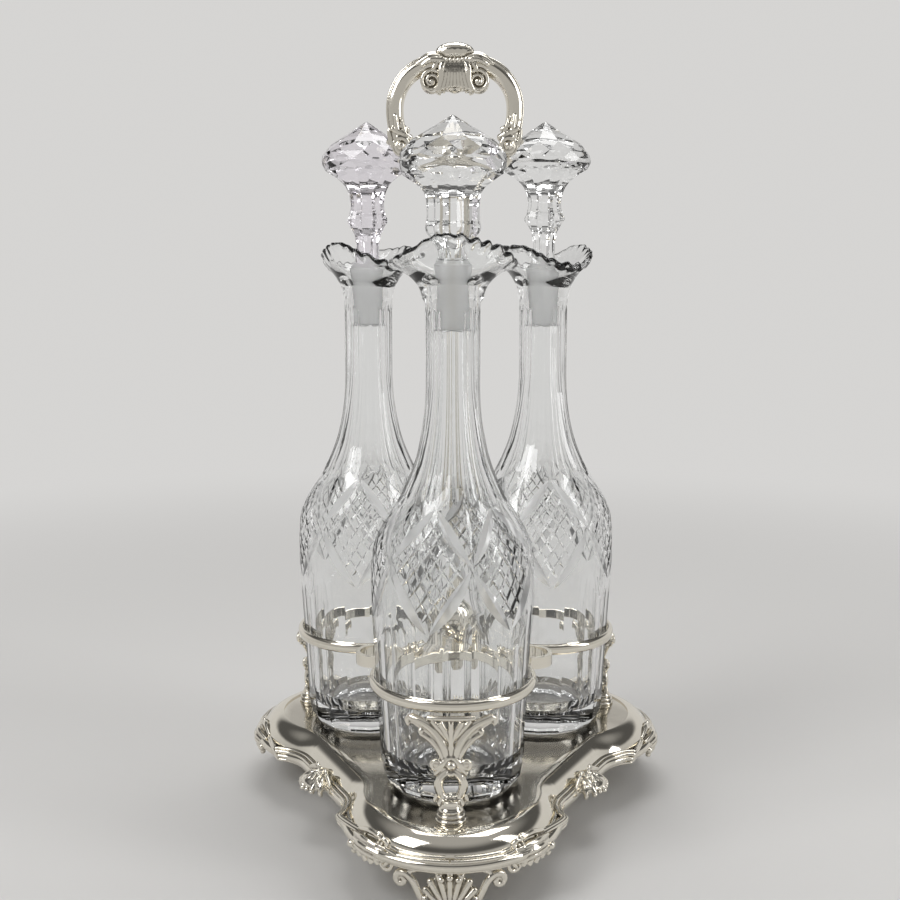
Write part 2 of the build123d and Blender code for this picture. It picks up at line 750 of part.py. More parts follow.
# Stopper seat: the ground cone inside the neck
plug_slope = (plug_high_radius - plug_low_radius) / (plug_top - plug_bottom)
seat_top_radius = plug_low_radius + plug_slope * (seat_top - plug_bottom) + plug_clearance
with BuildPart() as stopper_seat:
    with BuildSketch(Plane.XZ) as seat_section:
        Polygon(
            (0, plug_bottom - 1),
            (plug_low_radius + plug_clearance, plug_bottom - 1),
            (plug_low_radius + plug_clearance, plug_bottom),
            (seat_top_radius, seat_top),
            (0, seat_top),
            align=None,
        )
    revolve(axis=Axis.Z)

# Lip cutter: a saddle that dips at the two spouts, with small bars around it that leave a scalloped edge
saddle_reach = max(lip_reach.values()) + lip_edge
with BuildPart() as lip_cutter:
    with BuildSketch(Plane.XZ) as saddle:
        with BuildLine():
            ThreePointArc(
                (-saddle_reach, lip_spout_height),
                (0, lip_height),
                (saddle_reach, lip_spout_height),
            )
            Polyline(
                (saddle_reach, lip_spout_height),
                (saddle_reach, lip_height + lip_edge),
                (-saddle_reach, lip_height + lip_edge),
                (-saddle_reach, lip_spout_height),
            )
        make_face()
    extrude(saddle.sketch, amount=saddle_reach, both=True)
    for step in range(lip_scallops):
        turn = 2 * pi * (step + 0.5) / lip_scallops
        outward = Vector(cos(turn), sin(turn), 0)
        edge_height = lip_height - (lip_height - lip_spout_height) * cos(turn) ** 2
        bar_height = edge_height + lip_scallop_radius - lip_scallop_depth
        with BuildSketch(Plane(outward * neck_radius + Vector(0, 0, bar_height), z_dir=outward)) as lip_bar:
            Circle(lip_scallop_radius)
        extrude(lip_bar.sketch, amount=saddle_reach - neck_radius)

# Decanters: each has its own hand-drawn lip
for name, angle in lobe_angles.items():
    reach = lip_reach[name]
    with BuildPart() as decanter:
        add(cut_bottle.part)
        with BuildSketch(Plane.XZ) as lip_section:
            with BuildLine():
                flare = Spline(
                    (neck_radius, flare_height),
                    (reach - lip_edge, lip_under),
                    tangents=((0, 1), (1, 0.1)),
                )
                Polyline(
                    flare @ 1,
                    (reach, lip_turn_up),
                    (reach - lip_draft, lip_height),
                    (reach - lip_edge, lip_height),
                    (reach - lip_edge, lip_turn_up + lip_edge / 2),
                    (reach - lip_edge - lip_slope, lip_under + lip_edge),
                )
                Spline(
                    (reach - lip_edge - lip_slope, lip_under + lip_edge),
                    (seat_top_radius, seat_top),
                    tangents=((-1, -0.1), (-0.3, -1)),
                )
                Polyline(
                    (seat_top_radius, seat_top),
                    (bore_radius, seat_top),
                    (bore_radius, flare_height),
                    (neck_radius, flare_height),
                )
            make_face()
        revolve(lip_section.sketch, axis=Axis.Z)
        add(stopper_seat.part, mode=Mode.SUBTRACT)
        with Locations(Location((0, 0, 0), (0, 0, spout_turn[name]))):
            add(lip_cutter.part, mode=Mode.SUBTRACT)
    with BuildPart() as standing_decanter:
        with Locations((decanter_distance, 0, decanter_floor)):
            add(decanter.part)
    place(standing_decanter.part, f"decanter_{name}", angle)

# Stoppers: a ground plug under a faceted knop and a broad mushroom head, each ground to its own size
facet_flats = cos(pi / head_facets)
for name, angle in lobe_angles.items():
    knop_centre = lip_height + stopper_knop_rise[name]
    waist_radius = stopper_waist_radius[name]
    waist_height = knop_centre + stopper_waist_rise
    under_height = lip_height + head_rise[name]
    under_radius = head_radius[name] - head_under_inset
    rim_top = under_height + head_high_rise
    top = lip_height + stopper_rise[name]
    with BuildPart() as stopper:
        with BuildSketch(Plane.XZ) as stopper_section:
            with BuildLine():
                stem = Polyline(
                    (0, plug_bottom),
                    (plug_low_radius, plug_bottom),
                    (plug_high_radius, plug_top),
                    (shank_radius[name], plug_top + plug_shoulder),
                    (shank_radius[name], lip_height),
                    (stopper_knop_radius[name] + facet_step, knop_centre),
                    (waist_radius + facet_step, waist_height),
                )
                under = Spline(
                    stem @ 1,
                    (under_radius, under_height),
                    tangents=((0, 1), (1, 0.35)),
                )
                Polyline(
                    under @ 1,
                    (head_radius[name] + facet_step, under_height + head_low_rise),
                    (head_radius[name] + facet_step, rim_top),
                    (head_radius[name] * apex_share + facet_step, top - apex_drop),
                    (0, top),
                    (0, plug_bottom),
                )
            make_face()
        revolve(axis=Axis.Z)

    # Crown: an upright rim of facets, and one facet over each up to the tip
    with BuildPart() as crown:
        with BuildSketch(Plane.XY.offset(plug_bottom)) as crown_foot:
            RegularPolygon(head_radius[name] * facet_flats, head_facets, major_radius=False)
        with BuildSketch(Plane.XY.offset(rim_top)) as crown_rim:
            RegularPolygon(head_radius[name] * facet_flats, head_facets, major_radius=False)
        with BuildSketch(Plane.XY.offset(top - apex_drop)) as crown_tip:
            RegularPolygon(head_radius[name] * facet_flats * apex_share, head_facets, major_radius=False)
        loft([crown_foot.sketch, crown_rim.sketch, crown_tip.sketch], ruled=True)
        extrude(crown_tip.sketch, amount=apex_drop)

    # Stem flats: a faceted knop, and flats that spread into the head's underside
    stem_turns = [
        (shank_radius[name] + facet_step, lip_height),
        (stopper_knop_radius[name], knop_centre),
        (waist_radius, waist_height),
        (waist_radius + stem_flare, (waist_height + under_height + head_low_rise) / 2),
        (head_radius[name] + stem_spread, under_height + head_low_rise),
    ]
    stem_sections = []
    for turn_radius, turn_height in stem_turns:
        with BuildSketch(Plane.XY.offset(turn_height)) as stem_polygon:
            RegularPolygon(turn_radius, stem_facets)
        stem_sections.append(stem_polygon.sketch)
    with BuildPart() as stem_cutter:
        with BuildSketch(Plane.XY.offset(lip_height)) as stem_blank:
            Circle(2 * head_radius[name])
        extrude(stem_blank.sketch, amount=under_height + head_low_rise - lip_height)
        loft(stem_sections, ruled=True, mode=Mode.SUBTRACT)

    with BuildPart() as cut_stopper:
        add(stopper.part)
        add(crown.part, mode=Mode.INTERSECT)
        add(stem_cutter.part, mode=Mode.SUBTRACT)
    with BuildPart() as standing_stopper:
        with Locations((decanter_distance, 0, decanter_floor)):
            add(cut_stopper.part)
    place(standing_stopper.part, f"stopper_{name}", angle)

# The lobes reach further to the front than to the back, so the whole stand is moved back until the
# origin is at the middle of its box.
boxes = [piece.bounding_box() for piece in pieces]
axis_y = -(min(box.min.Y for box in boxes) + max(box.max.Y for box in boxes)) / 2
print(f"stand axis at y = {axis_y:.3f}")

os.makedirs("parts", exist_ok=True)
for piece in pieces:
    piece.locate(Location((0, axis_y, 0)) * piece.location)
    export_step(piece, f"parts/{piece.label}.step")
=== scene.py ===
from math import atan2, copysign, cos, degrees, pi, radians, sin, sqrt, tan

import bpy
from mathutils import Matrix, Vector


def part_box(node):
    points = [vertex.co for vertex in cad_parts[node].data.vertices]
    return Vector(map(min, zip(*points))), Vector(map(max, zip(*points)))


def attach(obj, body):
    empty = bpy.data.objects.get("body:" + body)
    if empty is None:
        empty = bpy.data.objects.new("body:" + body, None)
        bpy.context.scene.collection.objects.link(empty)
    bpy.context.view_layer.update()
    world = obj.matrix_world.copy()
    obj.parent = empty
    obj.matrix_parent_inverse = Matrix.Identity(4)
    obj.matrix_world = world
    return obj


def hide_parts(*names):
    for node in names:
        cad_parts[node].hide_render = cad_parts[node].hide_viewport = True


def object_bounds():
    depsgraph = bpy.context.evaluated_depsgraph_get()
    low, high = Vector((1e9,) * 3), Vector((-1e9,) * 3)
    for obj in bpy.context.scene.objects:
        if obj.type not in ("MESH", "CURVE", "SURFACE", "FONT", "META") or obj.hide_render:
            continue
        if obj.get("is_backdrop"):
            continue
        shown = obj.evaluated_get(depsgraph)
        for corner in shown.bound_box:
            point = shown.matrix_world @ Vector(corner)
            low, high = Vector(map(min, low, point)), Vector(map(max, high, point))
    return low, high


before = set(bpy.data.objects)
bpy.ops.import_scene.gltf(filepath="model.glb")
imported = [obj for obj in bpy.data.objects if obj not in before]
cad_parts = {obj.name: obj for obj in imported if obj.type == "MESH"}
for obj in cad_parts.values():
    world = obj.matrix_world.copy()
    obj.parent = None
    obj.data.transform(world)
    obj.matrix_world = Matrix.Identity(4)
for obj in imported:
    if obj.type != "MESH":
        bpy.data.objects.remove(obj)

bl_info = {
    "name": "Decanter Stand",
    "version": (1, 0, 0),
    "blender": (4, 5, 0),
    "location": "View3D > Sidebar > Decanter Stand",
    "description": "Dresses a silver-plated decanter stand and its three cut-glass decanters",
    "category": "Object",
}

MM = 0.001

# Where things stand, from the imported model
COLUMN_LOW, COLUMN_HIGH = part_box("column")
AXIS = Vector(((COLUMN_LOW.x + COLUMN_HIGH.x) / 2, (COLUMN_LOW.y + COLUMN_HIGH.y) / 2, 0))
LOBES = {"front": -90, "right": 30, "left": 150}
SIDES = {"back": 90, "left": 210, "right": -30}
DECANTER_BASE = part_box("decanter_front")[0].z
TRAY_FLOOR = DECANTER_BASE - 0.2 * MM
SPREAD = 60.0 * MM


def lobe_point(name, distance, height=0.0):
    """A point on a lobe's middle line, at a distance from the stand's axis."""
    turn = radians(LOBES[name])
    return AXIS + Vector((distance * cos(turn), distance * sin(turn), height))


# Plain modelling steps


def start_clean():
    """Leaves edit mode and selects nothing."""
    if bpy.context.object and bpy.context.object.mode != "OBJECT":
        bpy.ops.object.mode_set(mode="OBJECT")
    bpy.ops.object.select_all(action="DESELECT")


def pick(*pieces):
    """Selects these pieces alone; the first is active."""
    start_clean()
    for piece in pieces:
        piece.select_set(True)
    bpy.context.view_layer.objects.active = pieces[0]


def turn_profile(name, points, steps):
    """A closed turned solid about Z: one vertex is extruded along the profile, and the line is spun."""
    start_clean()
    bpy.ops.mesh.primitive_plane_add(size=MM, location=(0, 0, 0))
    piece = bpy.context.object
    piece.name = name
    bpy.ops.object.mode_set(mode="EDIT")
    bpy.ops.mesh.select_all(action="SELECT")
    bpy.ops.mesh.merge(type="CENTER")
    here = Vector((points[0][0] * MM, 0, points[0][1] * MM))
    bpy.ops.transform.translate(value=here)
    for radius, height in points[1:]:
        step = Vector((radius * MM, 0, height * MM)) - here
        bpy.ops.mesh.extrude_region_move(TRANSFORM_OT_translate={"value": step})
        here += step
    bpy.ops.mesh.select_all(action="SELECT")
    bpy.ops.mesh.spin(steps=steps, angle=2 * pi, center=(0, 0, 0), axis=(0, 0, 1))
    bpy.ops.mesh.select_all(action="SELECT")
    bpy.ops.mesh.remove_doubles(threshold=0.004 * MM)
    bpy.ops.mesh.normals_make_consistent(inside=False)
    bpy.ops.object.mode_set(mode="OBJECT")
    return piece


def stack_polygons(name, sides, rings):
    """A closed solid of stacked polygons: rings of (apothem or radius, height, turn in degrees)."""
    start_clean()
    radius, height, turn = rings[0]
    bpy.ops.mesh.primitive_circle_add(
        vertices=sides, radius=radius * MM, fill_type="NGON", location=(0, 0, height * MM)
    )
    piece = bpy.context.object
    piece.name = name
    bpy.ops.object.mode_set(mode="EDIT")
    bpy.ops.mesh.select_all(action="SELECT")
    if turn:
        bpy.ops.transform.rotate(value=-radians(turn), orient_axis="Z", center_override=(0, 0, 0))
    for new_radius, new_height, new_turn in rings[1:]:
        bpy.ops.mesh.extrude_region_move(
            TRANSFORM_OT_translate={"value": (0, 0, (new_height - height) * MM)}
        )
        size = new_radius / radius
        bpy.ops.transform.resize(value=(size, size, 1), center_override=(0, 0, new_height * MM))
        if new_turn != turn:
            bpy.ops.transform.rotate(
                value=-radians(new_turn - turn), orient_axis="Z", center_override=(0, 0, 0)
            )
        radius, height, turn = new_radius, new_height, new_turn
    bpy.ops.mesh.select_all(action="SELECT")
    bpy.ops.mesh.normals_make_consistent(inside=False)
    bpy.ops.object.mode_set(mode="OBJECT")
    return piece


def edit_all(piece, operator, **options):
    """Runs one mesh operator on all of a piece."""
    pick(piece)
    bpy.ops.object.mode_set(mode="EDIT")
    bpy.ops.mesh.select_all(action="SELECT")
    operator(**options)
    bpy.ops.object.mode_set(mode="OBJECT")


def crease_quads(piece):
    """Splits each four-sided face along its shorter diagonal."""
    edit_all(
        piece, bpy.ops.mesh.quads_convert_to_tris, quad_method="SHORTEST_DIAGONAL", ngon_method="BEAUTY"
    )


def own_copy(piece):
    """A copy of a piece with its own mesh."""
    copy = piece.copy()
    copy.data = piece.data.copy()
    bpy.context.scene.collection.objects.link(copy)
    return copy


def discard(*pieces):
    """Throws away pieces that were only tools or models for others."""
    for piece in pieces:
        bpy.data.objects.remove(piece, do_unlink=True)


def cut(piece, cutter, operation="DIFFERENCE"):
    """Cuts a piece with another, which is then thrown away."""
    pick(piece)
    tool = piece.modifiers.new("Cut", "BOOLEAN")
    tool.operation = operation
    tool.solver = "EXACT"
    tool.material_mode = "TRANSFER"
    tool.object = cutter
    bpy.ops.object.modifier_apply(modifier=tool.name)
    discard(cutter)


def join(name, pieces):
    """Joins pieces into one."""
    pick(*pieces)
    bpy.ops.object.join()
    joined = bpy.context.object
    joined.name = name
    return joined


def settle(piece):
    """Puts a piece's place into its mesh."""
    pick(piece)
    bpy.ops.object.transform_apply(location=True, rotation=True, scale=True)


def fit_piece(piece, name, body, slot, material, *nodes):
    """Names a finished piece, gives it its finish unless it has one, and lets it ride on its body."""
    settle(piece)
    piece.name = name
    piece.data.name = name
    if material:
        piece.data.materials.clear()
        piece.data.materials.append(material)
    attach(piece, body)
    if nodes:
        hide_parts(*nodes)


def smooth(piece, angle):
    """Smooth shading, with edges sharper than the angle kept crisp."""
    pick(piece)
    bpy.ops.object.shade_smooth_by_angle(angle=radians(angle))


def smooth_path(points, steps=6):
    """Points along a smooth curve through the given ones."""
    path = []
    last = len(points) - 1
    for index in range(last):
        before = points[max(index - 1, 0)]
        start = points[index]
        end = points[index + 1]
        after = points[min(index + 2, last)]
        for step in range(steps):
            t = step / steps
            place = []
            for axis in range(len(start)):
                slope_in = (end[axis] - before[axis]) / 2
                slope_out = (after[axis] - start[axis]) / 2
                place.append(
                    (2 * t**3 - 3 * t**2 + 1) * start[axis]
                    + (t**3 - 2 * t**2 + t) * slope_in
                    + (-2 * t**3 + 3 * t**2) * end[axis]
                    + (t**3 - t**2) * slope_out
                )
            path.append(tuple(place))
    path.append(tuple(points[last]))
    return path


# Cast ornament: strokes of tapering bar and beads, fused and softened as a casting is


def spiral(centre, start_radius, end_radius, start_angle, turns, away=0.0, points=14):
    """Points (across, out, up) of a flat spiral, in millimetres; positive turns wind anticlockwise."""
    path = []
    for step in range(points):
        share = step / (points - 1)
        radius = start_radius + (end_radius - start_radius) * share
        turn = radians(start_angle) + 2 * pi * turns * share
        path.append((centre[0] + radius * cos(turn), away, centre[1] + radius * sin(turn)))
    return path


def stroke(path, start, end, swell=0.0):
    """A bar along a path, with a radius that runs from start to end and swells in the middle."""
    last = len(path) - 1
    return path, [
        start + (end - start) * step / last + swell * sin(pi * step / last) for step in range(last + 1)
    ]


def mirrored(strokes):
    """The same strokes with their left and right changed over."""
    return [([(-across, out, up) for across, out, up in path], radii) for path, radii in strokes]


def draw_strokes(name, strokes):
    """A mesh of round bars along smooth paths."""
    start_clean()
    bpy.ops.curve.primitive_nurbs_path_add(location=(0, 0, 0))
    drawing = bpy.context.object
    drawing.name = name
    curve = drawing.data
    curve.splines.clear()
    for path, radii in strokes:
        spline = curve.splines.new("NURBS")
        spline.points.add(len(path) - 1)
        for point, place, radius in zip(spline.points, path, radii):
            point.co = (place[0] * MM, place[1] * MM, place[2] * MM, 1)
            point.radius = radius
        spline.order_u = 3
        spline.use_endpoint_u = True
        spline.resolution_u = 5
    curve.bevel_depth = MM
    curve.bevel_resolution = 3
    curve.use_fill_caps = True
    pick(drawing)
    bpy.ops.object.convert(target="MESH")
    return bpy.context.object


def bead(centre, radius, squash=(1, 1, 1)):
    """A round or squashed bead at (across, out, up)."""
    start_clean()
    bpy.ops.mesh.primitive_ico_sphere_add(
        subdivisions=3, radius=radius * MM, location=[part * MM for part in centre], scale=squash
    )
    ball = bpy.context.object
    settle(ball)
    return ball


def merged_copy(node):
    """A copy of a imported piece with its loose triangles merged."""
    copy = own_copy(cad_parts[node])
    copy.parent = None
    for key in list(copy.keys()):
        del copy[key]
    edit_all(copy, bpy.ops.mesh.remove_doubles, threshold=0.001 * MM)
    return copy


def fuse(piece, grain, rounds=2):
    """Fuses overlapping forms into one skin and softens it."""
    pick(piece)
    skin = piece.modifiers.new("Skin", "REMESH")
    skin.mode = "VOXEL"
    skin.voxel_size = grain * MM
    bpy.ops.object.modifier_apply(modifier=skin.name)
    soft = piece.modifiers.new("Soft", "SMOOTH")
    soft.factor = 0.5
    soft.iterations = rounds
    bpy.ops.object.modifier_apply(modifier=soft.name)
    bpy.ops.object.shade_smooth()


def wrap(piece, radius, middle, direction):
    """Bends a flat drawing of (across, out, up) around an upright axis, to face a direction in degrees."""
    turn = radians(direction)
    for vertex in piece.data.vertices:
        angle = turn + vertex.co.x / (radius * MM)
        reach = radius * MM + vertex.co.y
        vertex.co = (middle.x + reach * cos(angle), middle.y + reach * sin(angle), vertex.co.z)
    piece.data.flip_normals()


def turn_about_axis(piece, turn):
    """Turns a piece's mesh about the stand's axis, by degrees."""
    about = Matrix.Translation(AXIS) @ Matrix.Rotation(radians(turn), 4, "Z") @ Matrix.Translation(-AXIS)
    piece.data.transform(about)


def turned_copy(piece, turn):
    """A copy of a piece turned about the stand's axis, with its own mesh."""
    copy = own_copy(piece)
    turn_about_axis(copy, turn)
    return copy


# Finishes


def add_node(tree, kind, values=None, **settings):
    """A new shader node with its settings and the values of its sockets."""
    node = tree.nodes.new(kind)
    for setting, value in settings.items():
        setattr(node, setting, value)
    for socket, value in (values or {}).items():
        node.inputs[socket].default_value = value
    return node


def new_group(name, inputs, outputs):
    """An empty shader node group with named sockets."""
    group = bpy.data.node_groups.new(name, "ShaderNodeTree")
    for label, kind, value in inputs:
        group.interface.new_socket(label, in_out="INPUT", socket_type=kind).default_value = value
    for label, kind in outputs:
        group.interface.new_socket(label, in_out="OUTPUT", socket_type=kind)
    return group, group.nodes.new("NodeGroupInput"), group.nodes.new("NodeGroupOutput")


def new_material(name, values):
    """A material whose Principled shader has these values."""
    material = bpy.data.materials.new(name)
    material.use_nodes = True
    shader = material.node_tree.nodes["Principled BSDF"]
    for socket, value in values.items():
        shader.inputs[socket].default_value = value
    return material, material.node_tree, shader


def wear_and_shade_group():
    """Hand-polished old plate: cloudy tone and fine rubbing marks, with shade painted into the recesses."""
    if "Aged polish and painted shade" in bpy.data.node_groups:
        return bpy.data.node_groups["Aged polish and painted shade"]
    group, source, result = new_group(
        "Aged polish and painted shade",
        [
            ("Bright", "NodeSocketColor", (0.9, 0.87, 0.8, 1)),
            ("Dark", "NodeSocketColor", (0.2, 0.17, 0.12, 1)),
            ("Roughness", "NodeSocketFloat", 0.12),
            ("Wear", "NodeSocketFloat", 0.5),
            ("Recess shade", "NodeSocketFloat", 0.5),
            ("Scratch", "NodeSocketFloat", 0.03),
        ],
        [("Color", "NodeSocketColor"), ("Roughness", "NodeSocketFloat"), ("Normal", "NodeSocketVector")],
    )
    link = group.links.new
    place = add_node(group, "ShaderNodeTexCoord")

    cloud = add_node(group, "ShaderNodeTexNoise", {"Scale": 38, "Detail": 5, "Roughness": 0.6})
    link(place.outputs["Object"], cloud.inputs["Vector"])
    patches = add_node(group, "ShaderNodeMapRange", {"From Min": 0.42, "From Max": 0.72})
    link(cloud.outputs["Fac"], patches.inputs["Value"])
    patch_amount = add_node(group, "ShaderNodeMath", operation="MULTIPLY")
    link(patches.outputs["Result"], patch_amount.inputs[0])
    link(source.outputs["Wear"], patch_amount.inputs[1])

    # Painted shade: where the surface is hollow (low pointiness), the colour is darkened towards Dark, as
    # though shade fell in the recesses.
    geometry = add_node(group, "ShaderNodeNewGeometry")
    hollow = add_node(group, "ShaderNodeMapRange", {"From Min": 0.498, "From Max": 0.468})
    link(geometry.outputs["Pointiness"], hollow.inputs["Value"])
    recess_shade_amount = add_node(group, "ShaderNodeMath", operation="MULTIPLY")
    link(hollow.outputs["Result"], recess_shade_amount.inputs[0])
    link(source.outputs["Recess shade"], recess_shade_amount.inputs[1])

    # The cloudy wear patches and the painted shade in the recesses together pull the colour towards Dark and
    # raise the roughness.
    darker = add_node(group, "ShaderNodeMath", {1: 0.22}, operation="MULTIPLY_ADD", use_clamp=True)
    link(patch_amount.outputs["Value"], darker.inputs[0])
    link(recess_shade_amount.outputs["Value"], darker.inputs[2])
    tone = add_node(group, "ShaderNodeMix", data_type="RGBA")
    link(darker.outputs["Value"], tone.inputs["Factor"])
    link(source.outputs["Bright"], tone.inputs["A"])
    link(source.outputs["Dark"], tone.inputs["B"])
    link(tone.outputs["Result"], result.inputs["Color"])
    dull = add_node(group, "ShaderNodeMath", {1: 0.22}, operation="MULTIPLY_ADD")
    link(darker.outputs["Value"], dull.inputs[0])
    link(source.outputs["Roughness"], dull.inputs[2])
    link(dull.outputs["Value"], result.inputs["Roughness"])

    stretch = add_node(group, "ShaderNodeMapping", {"Rotation": (0.3, 0.2, 0.6), "Scale": (1, 9, 1)})
    link(place.outputs["Object"], stretch.inputs["Vector"])
    marks = add_node(group, "ShaderNodeTexNoise", {"Scale": 260, "Detail": 3})
    link(stretch.outputs["Vector"], marks.inputs["Vector"])
    bump = add_node(group, "ShaderNodeBump", {"Distance": 0.00006})
    link(source.outputs["Scratch"], bump.inputs["Strength"])
    link(marks.outputs["Fac"], bump.inputs["Height"])
    link(bump.outputs["Normal"], result.inputs["Normal"])
    return group


def silver_finish(settings, cast=False):
    """Antique silver plate with shade painted into its recesses, smooth, or cast and so duller with stronger
    painted shade.
    """
    name = "cast_silver" if cast else "polished_silver"
    if name in bpy.data.materials:
        return bpy.data.materials[name]
    material, tree, shader = new_material(name, {"Metallic": 1.0})
    # The recess values below set how strongly shade is painted into the hollows.
    wear_and_shade = add_node(
        tree, "ShaderNodeGroup",
        {
            "Bright": (*settings.silver_colour, 1), "Dark": (*settings.tarnish_and_shade_colour, 1),
            "Wear": settings.wear, "Roughness": 0.13 if cast else 0.08,
            "Recess shade": 0.85 if cast else 0.3, "Scratch": 0.1 if cast else 0.05,
        },
        node_tree=wear_and_shade_group(),
    )
    tree.links.new(wear_and_shade.outputs["Color"], shader.inputs["Base Color"])
    tree.links.new(wear_and_shade.outputs["Roughness"], shader.inputs["Roughness"])
    tree.links.new(wear_and_shade.outputs["Normal"], shader.inputs["Normal"])
    return material


def surface_group():
    """The unevenness of a glass surface, from a slow ripple to a fine grain."""
    if "Glass surface" in bpy.data.node_groups:
        return bpy.data.node_groups["Glass surface"]
    group, source, result = new_group(
        "Glass surface",
        [
            ("Stretch", "NodeSocketVector", (1, 1, 1)),
            ("Scale", "NodeSocketFloat", 70),
            ("Detail", "NodeSocketFloat", 1),
            ("Strength", "NodeSocketFloat", 0.05),
            ("Distance", "NodeSocketFloat", 0.0004),
        ],
        [("Normal", "NodeSocketVector")],
    )
    link = group.links.new
    place = add_node(group, "ShaderNodeTexCoord")
    stretch = add_node(group, "ShaderNodeMapping")
    link(place.outputs["Object"], stretch.inputs["Vector"])
    link(source.outputs["Stretch"], stretch.inputs["Scale"])
    grain = add_node(group, "ShaderNodeTexNoise")
    link(stretch.outputs["Vector"], grain.inputs["Vector"])
    bump = add_node(group, "ShaderNodeBump")
    for label, target in (("Scale", grain), ("Detail", grain), ("Strength", bump), ("Distance", bump)):
        link(source.outputs[label], target.inputs[label])
    link(grain.outputs["Fac"], bump.inputs["Height"])
    link(bump.outputs["Normal"], result.inputs["Normal"])
    return group


def glass_finish(name, colour, roughness=0.0, transmission=1.0, surface=None):
    """Lead glass; surface holds the values of its unevenness where they aren't a slow ripple's."""
    if name in bpy.data.materials:
        return bpy.data.materials[name]
    material, tree, shader = new_material(
        name,
        {
            "Base Color": (*colour, 1), "Roughness": roughness, "IOR": 1.54,
            "Transmission Weight": transmission,
        },
    )
    uneven = add_node(tree, "ShaderNodeGroup", surface, node_tree=surface_group())
    tree.links.new(uneven.outputs["Normal"], shader.inputs["Normal"])
    return material


def ground_finish(glass):
    """The stoppers' plugs, ground matt with fine rings."""
    return glass_finish(
        "ground_glass", glass.clear_colour, 0.4, 0.78,
        {"Stretch": (1, 1, 12), "Scale": 240, "Detail": 4, "Strength": 0.3, "Distance": 0.00005},
    )


def wheel_finish(glass):
    """The milky, silky surface that the wheel leaves in the glass."""
    return glass_finish(
        "wheel_cut_glass", glass.clear_colour, 0.24, 0.72,
        {"Scale": 900, "Detail": 2, "Strength": 0.2, "Distance": 0.00004},
    )


def fit_cast(piece, name, *nodes):
    """Fits a finished casting to the stand."""
    silver = silver_finish(bpy.context.scene.stand_silver, cast=True)
    fit_piece(piece, name, "stand", "silver_plate", silver, *nodes)


def fit_around(model, turns, name, node=None, drawn_at=0):
    """Fits a turned copy of a cast model at each place around the stand, then throws the model away."""
    for place, turn in turns.items():
        nodes = [f"{node}_{place}"] if node else []
        fit_cast(turned_copy(model, turn - drawn_at), f"{name}_{place}", *nodes)
    discard(model)


# Settings that a user would change


class SilverSettings(bpy.types.PropertyGroup):
    silver_colour: bpy.props.FloatVectorProperty(
        name="Silver", description="Colour of the polished plate", subtype="COLOR",
        size=3, min=0, max=1, default=(0.83, 0.79, 0.70),
    )
    # The tarnish colour is also the shade painted into the recesses.
    tarnish_and_shade_colour: bpy.props.FloatVectorProperty(
        name="Tarnish and shade", description="Colour of the tarnish patches and of the shade painted in the recesses", subtype="COLOR",
        size=3, min=0, max=1, default=(0.10, 0.082, 0.055),
    )
    wear: bpy.props.FloatProperty(
        name="Wear", description="How cloudy the polish has become", subtype="FACTOR",
        min=0, max=1, default=0.4,
    )


class GlassSettings(bpy.types.PropertyGroup):
    clear_colour: bpy.props.FloatVectorProperty(
        name="Glass", description="Colour of the clear glass", subtype="COLOR",
        size=3, min=0, max=1, default=(0.985, 0.99, 0.99),
    )
    lilac_colour: bpy.props.FloatVectorProperty(
        name="Lilac glass", description="Colour of the left stopper's slightly lilac glass", subtype="COLOR",
        size=3, min=0, max=1, default=(0.95, 0.92, 0.97),
    )
    blade_half_angle: bpy.props.FloatProperty(
        name="Wheel", description="Half angle of the wheel's edge", subtype="ANGLE",
        min=radians(20), max=radians(70), default=radians(58),
    )
    lattice_lines: bpy.props.IntProperty(
        name="Lattice lines", description="Cuts each way inside one lozenge", min=2, max=8, default=5,
    )


class StageSettings(bpy.types.PropertyGroup):
    floor_colour: bpy.props.FloatVectorProperty(
        name="Floor", description="Colour of the floor and backdrop", subtype="COLOR",
        size=3, min=0, max=1, default=(0.67, 0.662, 0.65),
    )
    light_level: bpy.props.FloatProperty(
        name="Light", description="Level of the studio lights", min=0, max=4, default=1.0,
    )


# Small turns in degrees, so that a turned blank and its cutters never share a line exactly
OFF_LINE = {"bottle": 0.41, "split": 0.35, "stem": 9.3, "head": 1.7}

# The decanters' shape, in millimetres above their base
WALL = 4.6
BORE = 8.4
NECK = 14.2
FLARE = 257.0
LIP_TOP = 290.0
MASTER_REACH = 30.0
LIP_REACH = {"front": 33.2, "right": 30.6, "left": 29.4}
LIP_SPOUT = {"front": 4.0, "right": -58.0, "left": -44.0}
DECANTER_TURN = {"front": -106.0, "right": -84.0, "left": -96.0}
LOZENGES = 6
LOZENGE_TOP = 155.0
LOZENGE_SIDE = 127.0
LOZENGE_BOTTOM = 92.0
BODY_FLUTES = 18
NECK_FLUTES = 12
OUTER = [
    (36.6, 0.0), (38.4, 4.0), (39.4, 23.0), (40.4, 42.0), (41.4, 61.0), (42.4, 80.0), (43.1, 94.0),
    (43.3, 108.0), (43.1, 118.0), (42.2, 128.0), (39.8, 135.5), (35.8, 143.0), (29.0, 153.6),
    (23.4, 165.0), (19.4, 175.6), (16.8, 187.0), (15.0, 199.0), (14.2, 212.0),
]
OUTLINE = smooth_path(OUTER, 3)


def outer_radius(height):
    """The bottle's outer radius at a height."""
    for (low_radius, low), (high_radius, high) in zip(OUTLINE, OUTLINE[1:]):
        if low <= height <= high:
            return low_radius + (high_radius - low_radius) * (height - low) / (high - low)
    return NECK


def on_bottle(angle, height):
    """A point on the bottle's outside, in millimetres."""
    turn = radians(angle)
    radius = outer_radius(height)
    return Vector((radius * cos(turn), radius * sin(turn), height))


def outward_on_bottle(angle, height):
    """The direction straight out of the bottle's outside."""
    turn = radians(angle)
    step = 2
    rise = outer_radius(height + step) - outer_radius(height - step)
    return Vector((2 * step * cos(turn), 2 * step * sin(turn), -rise)).normalized()


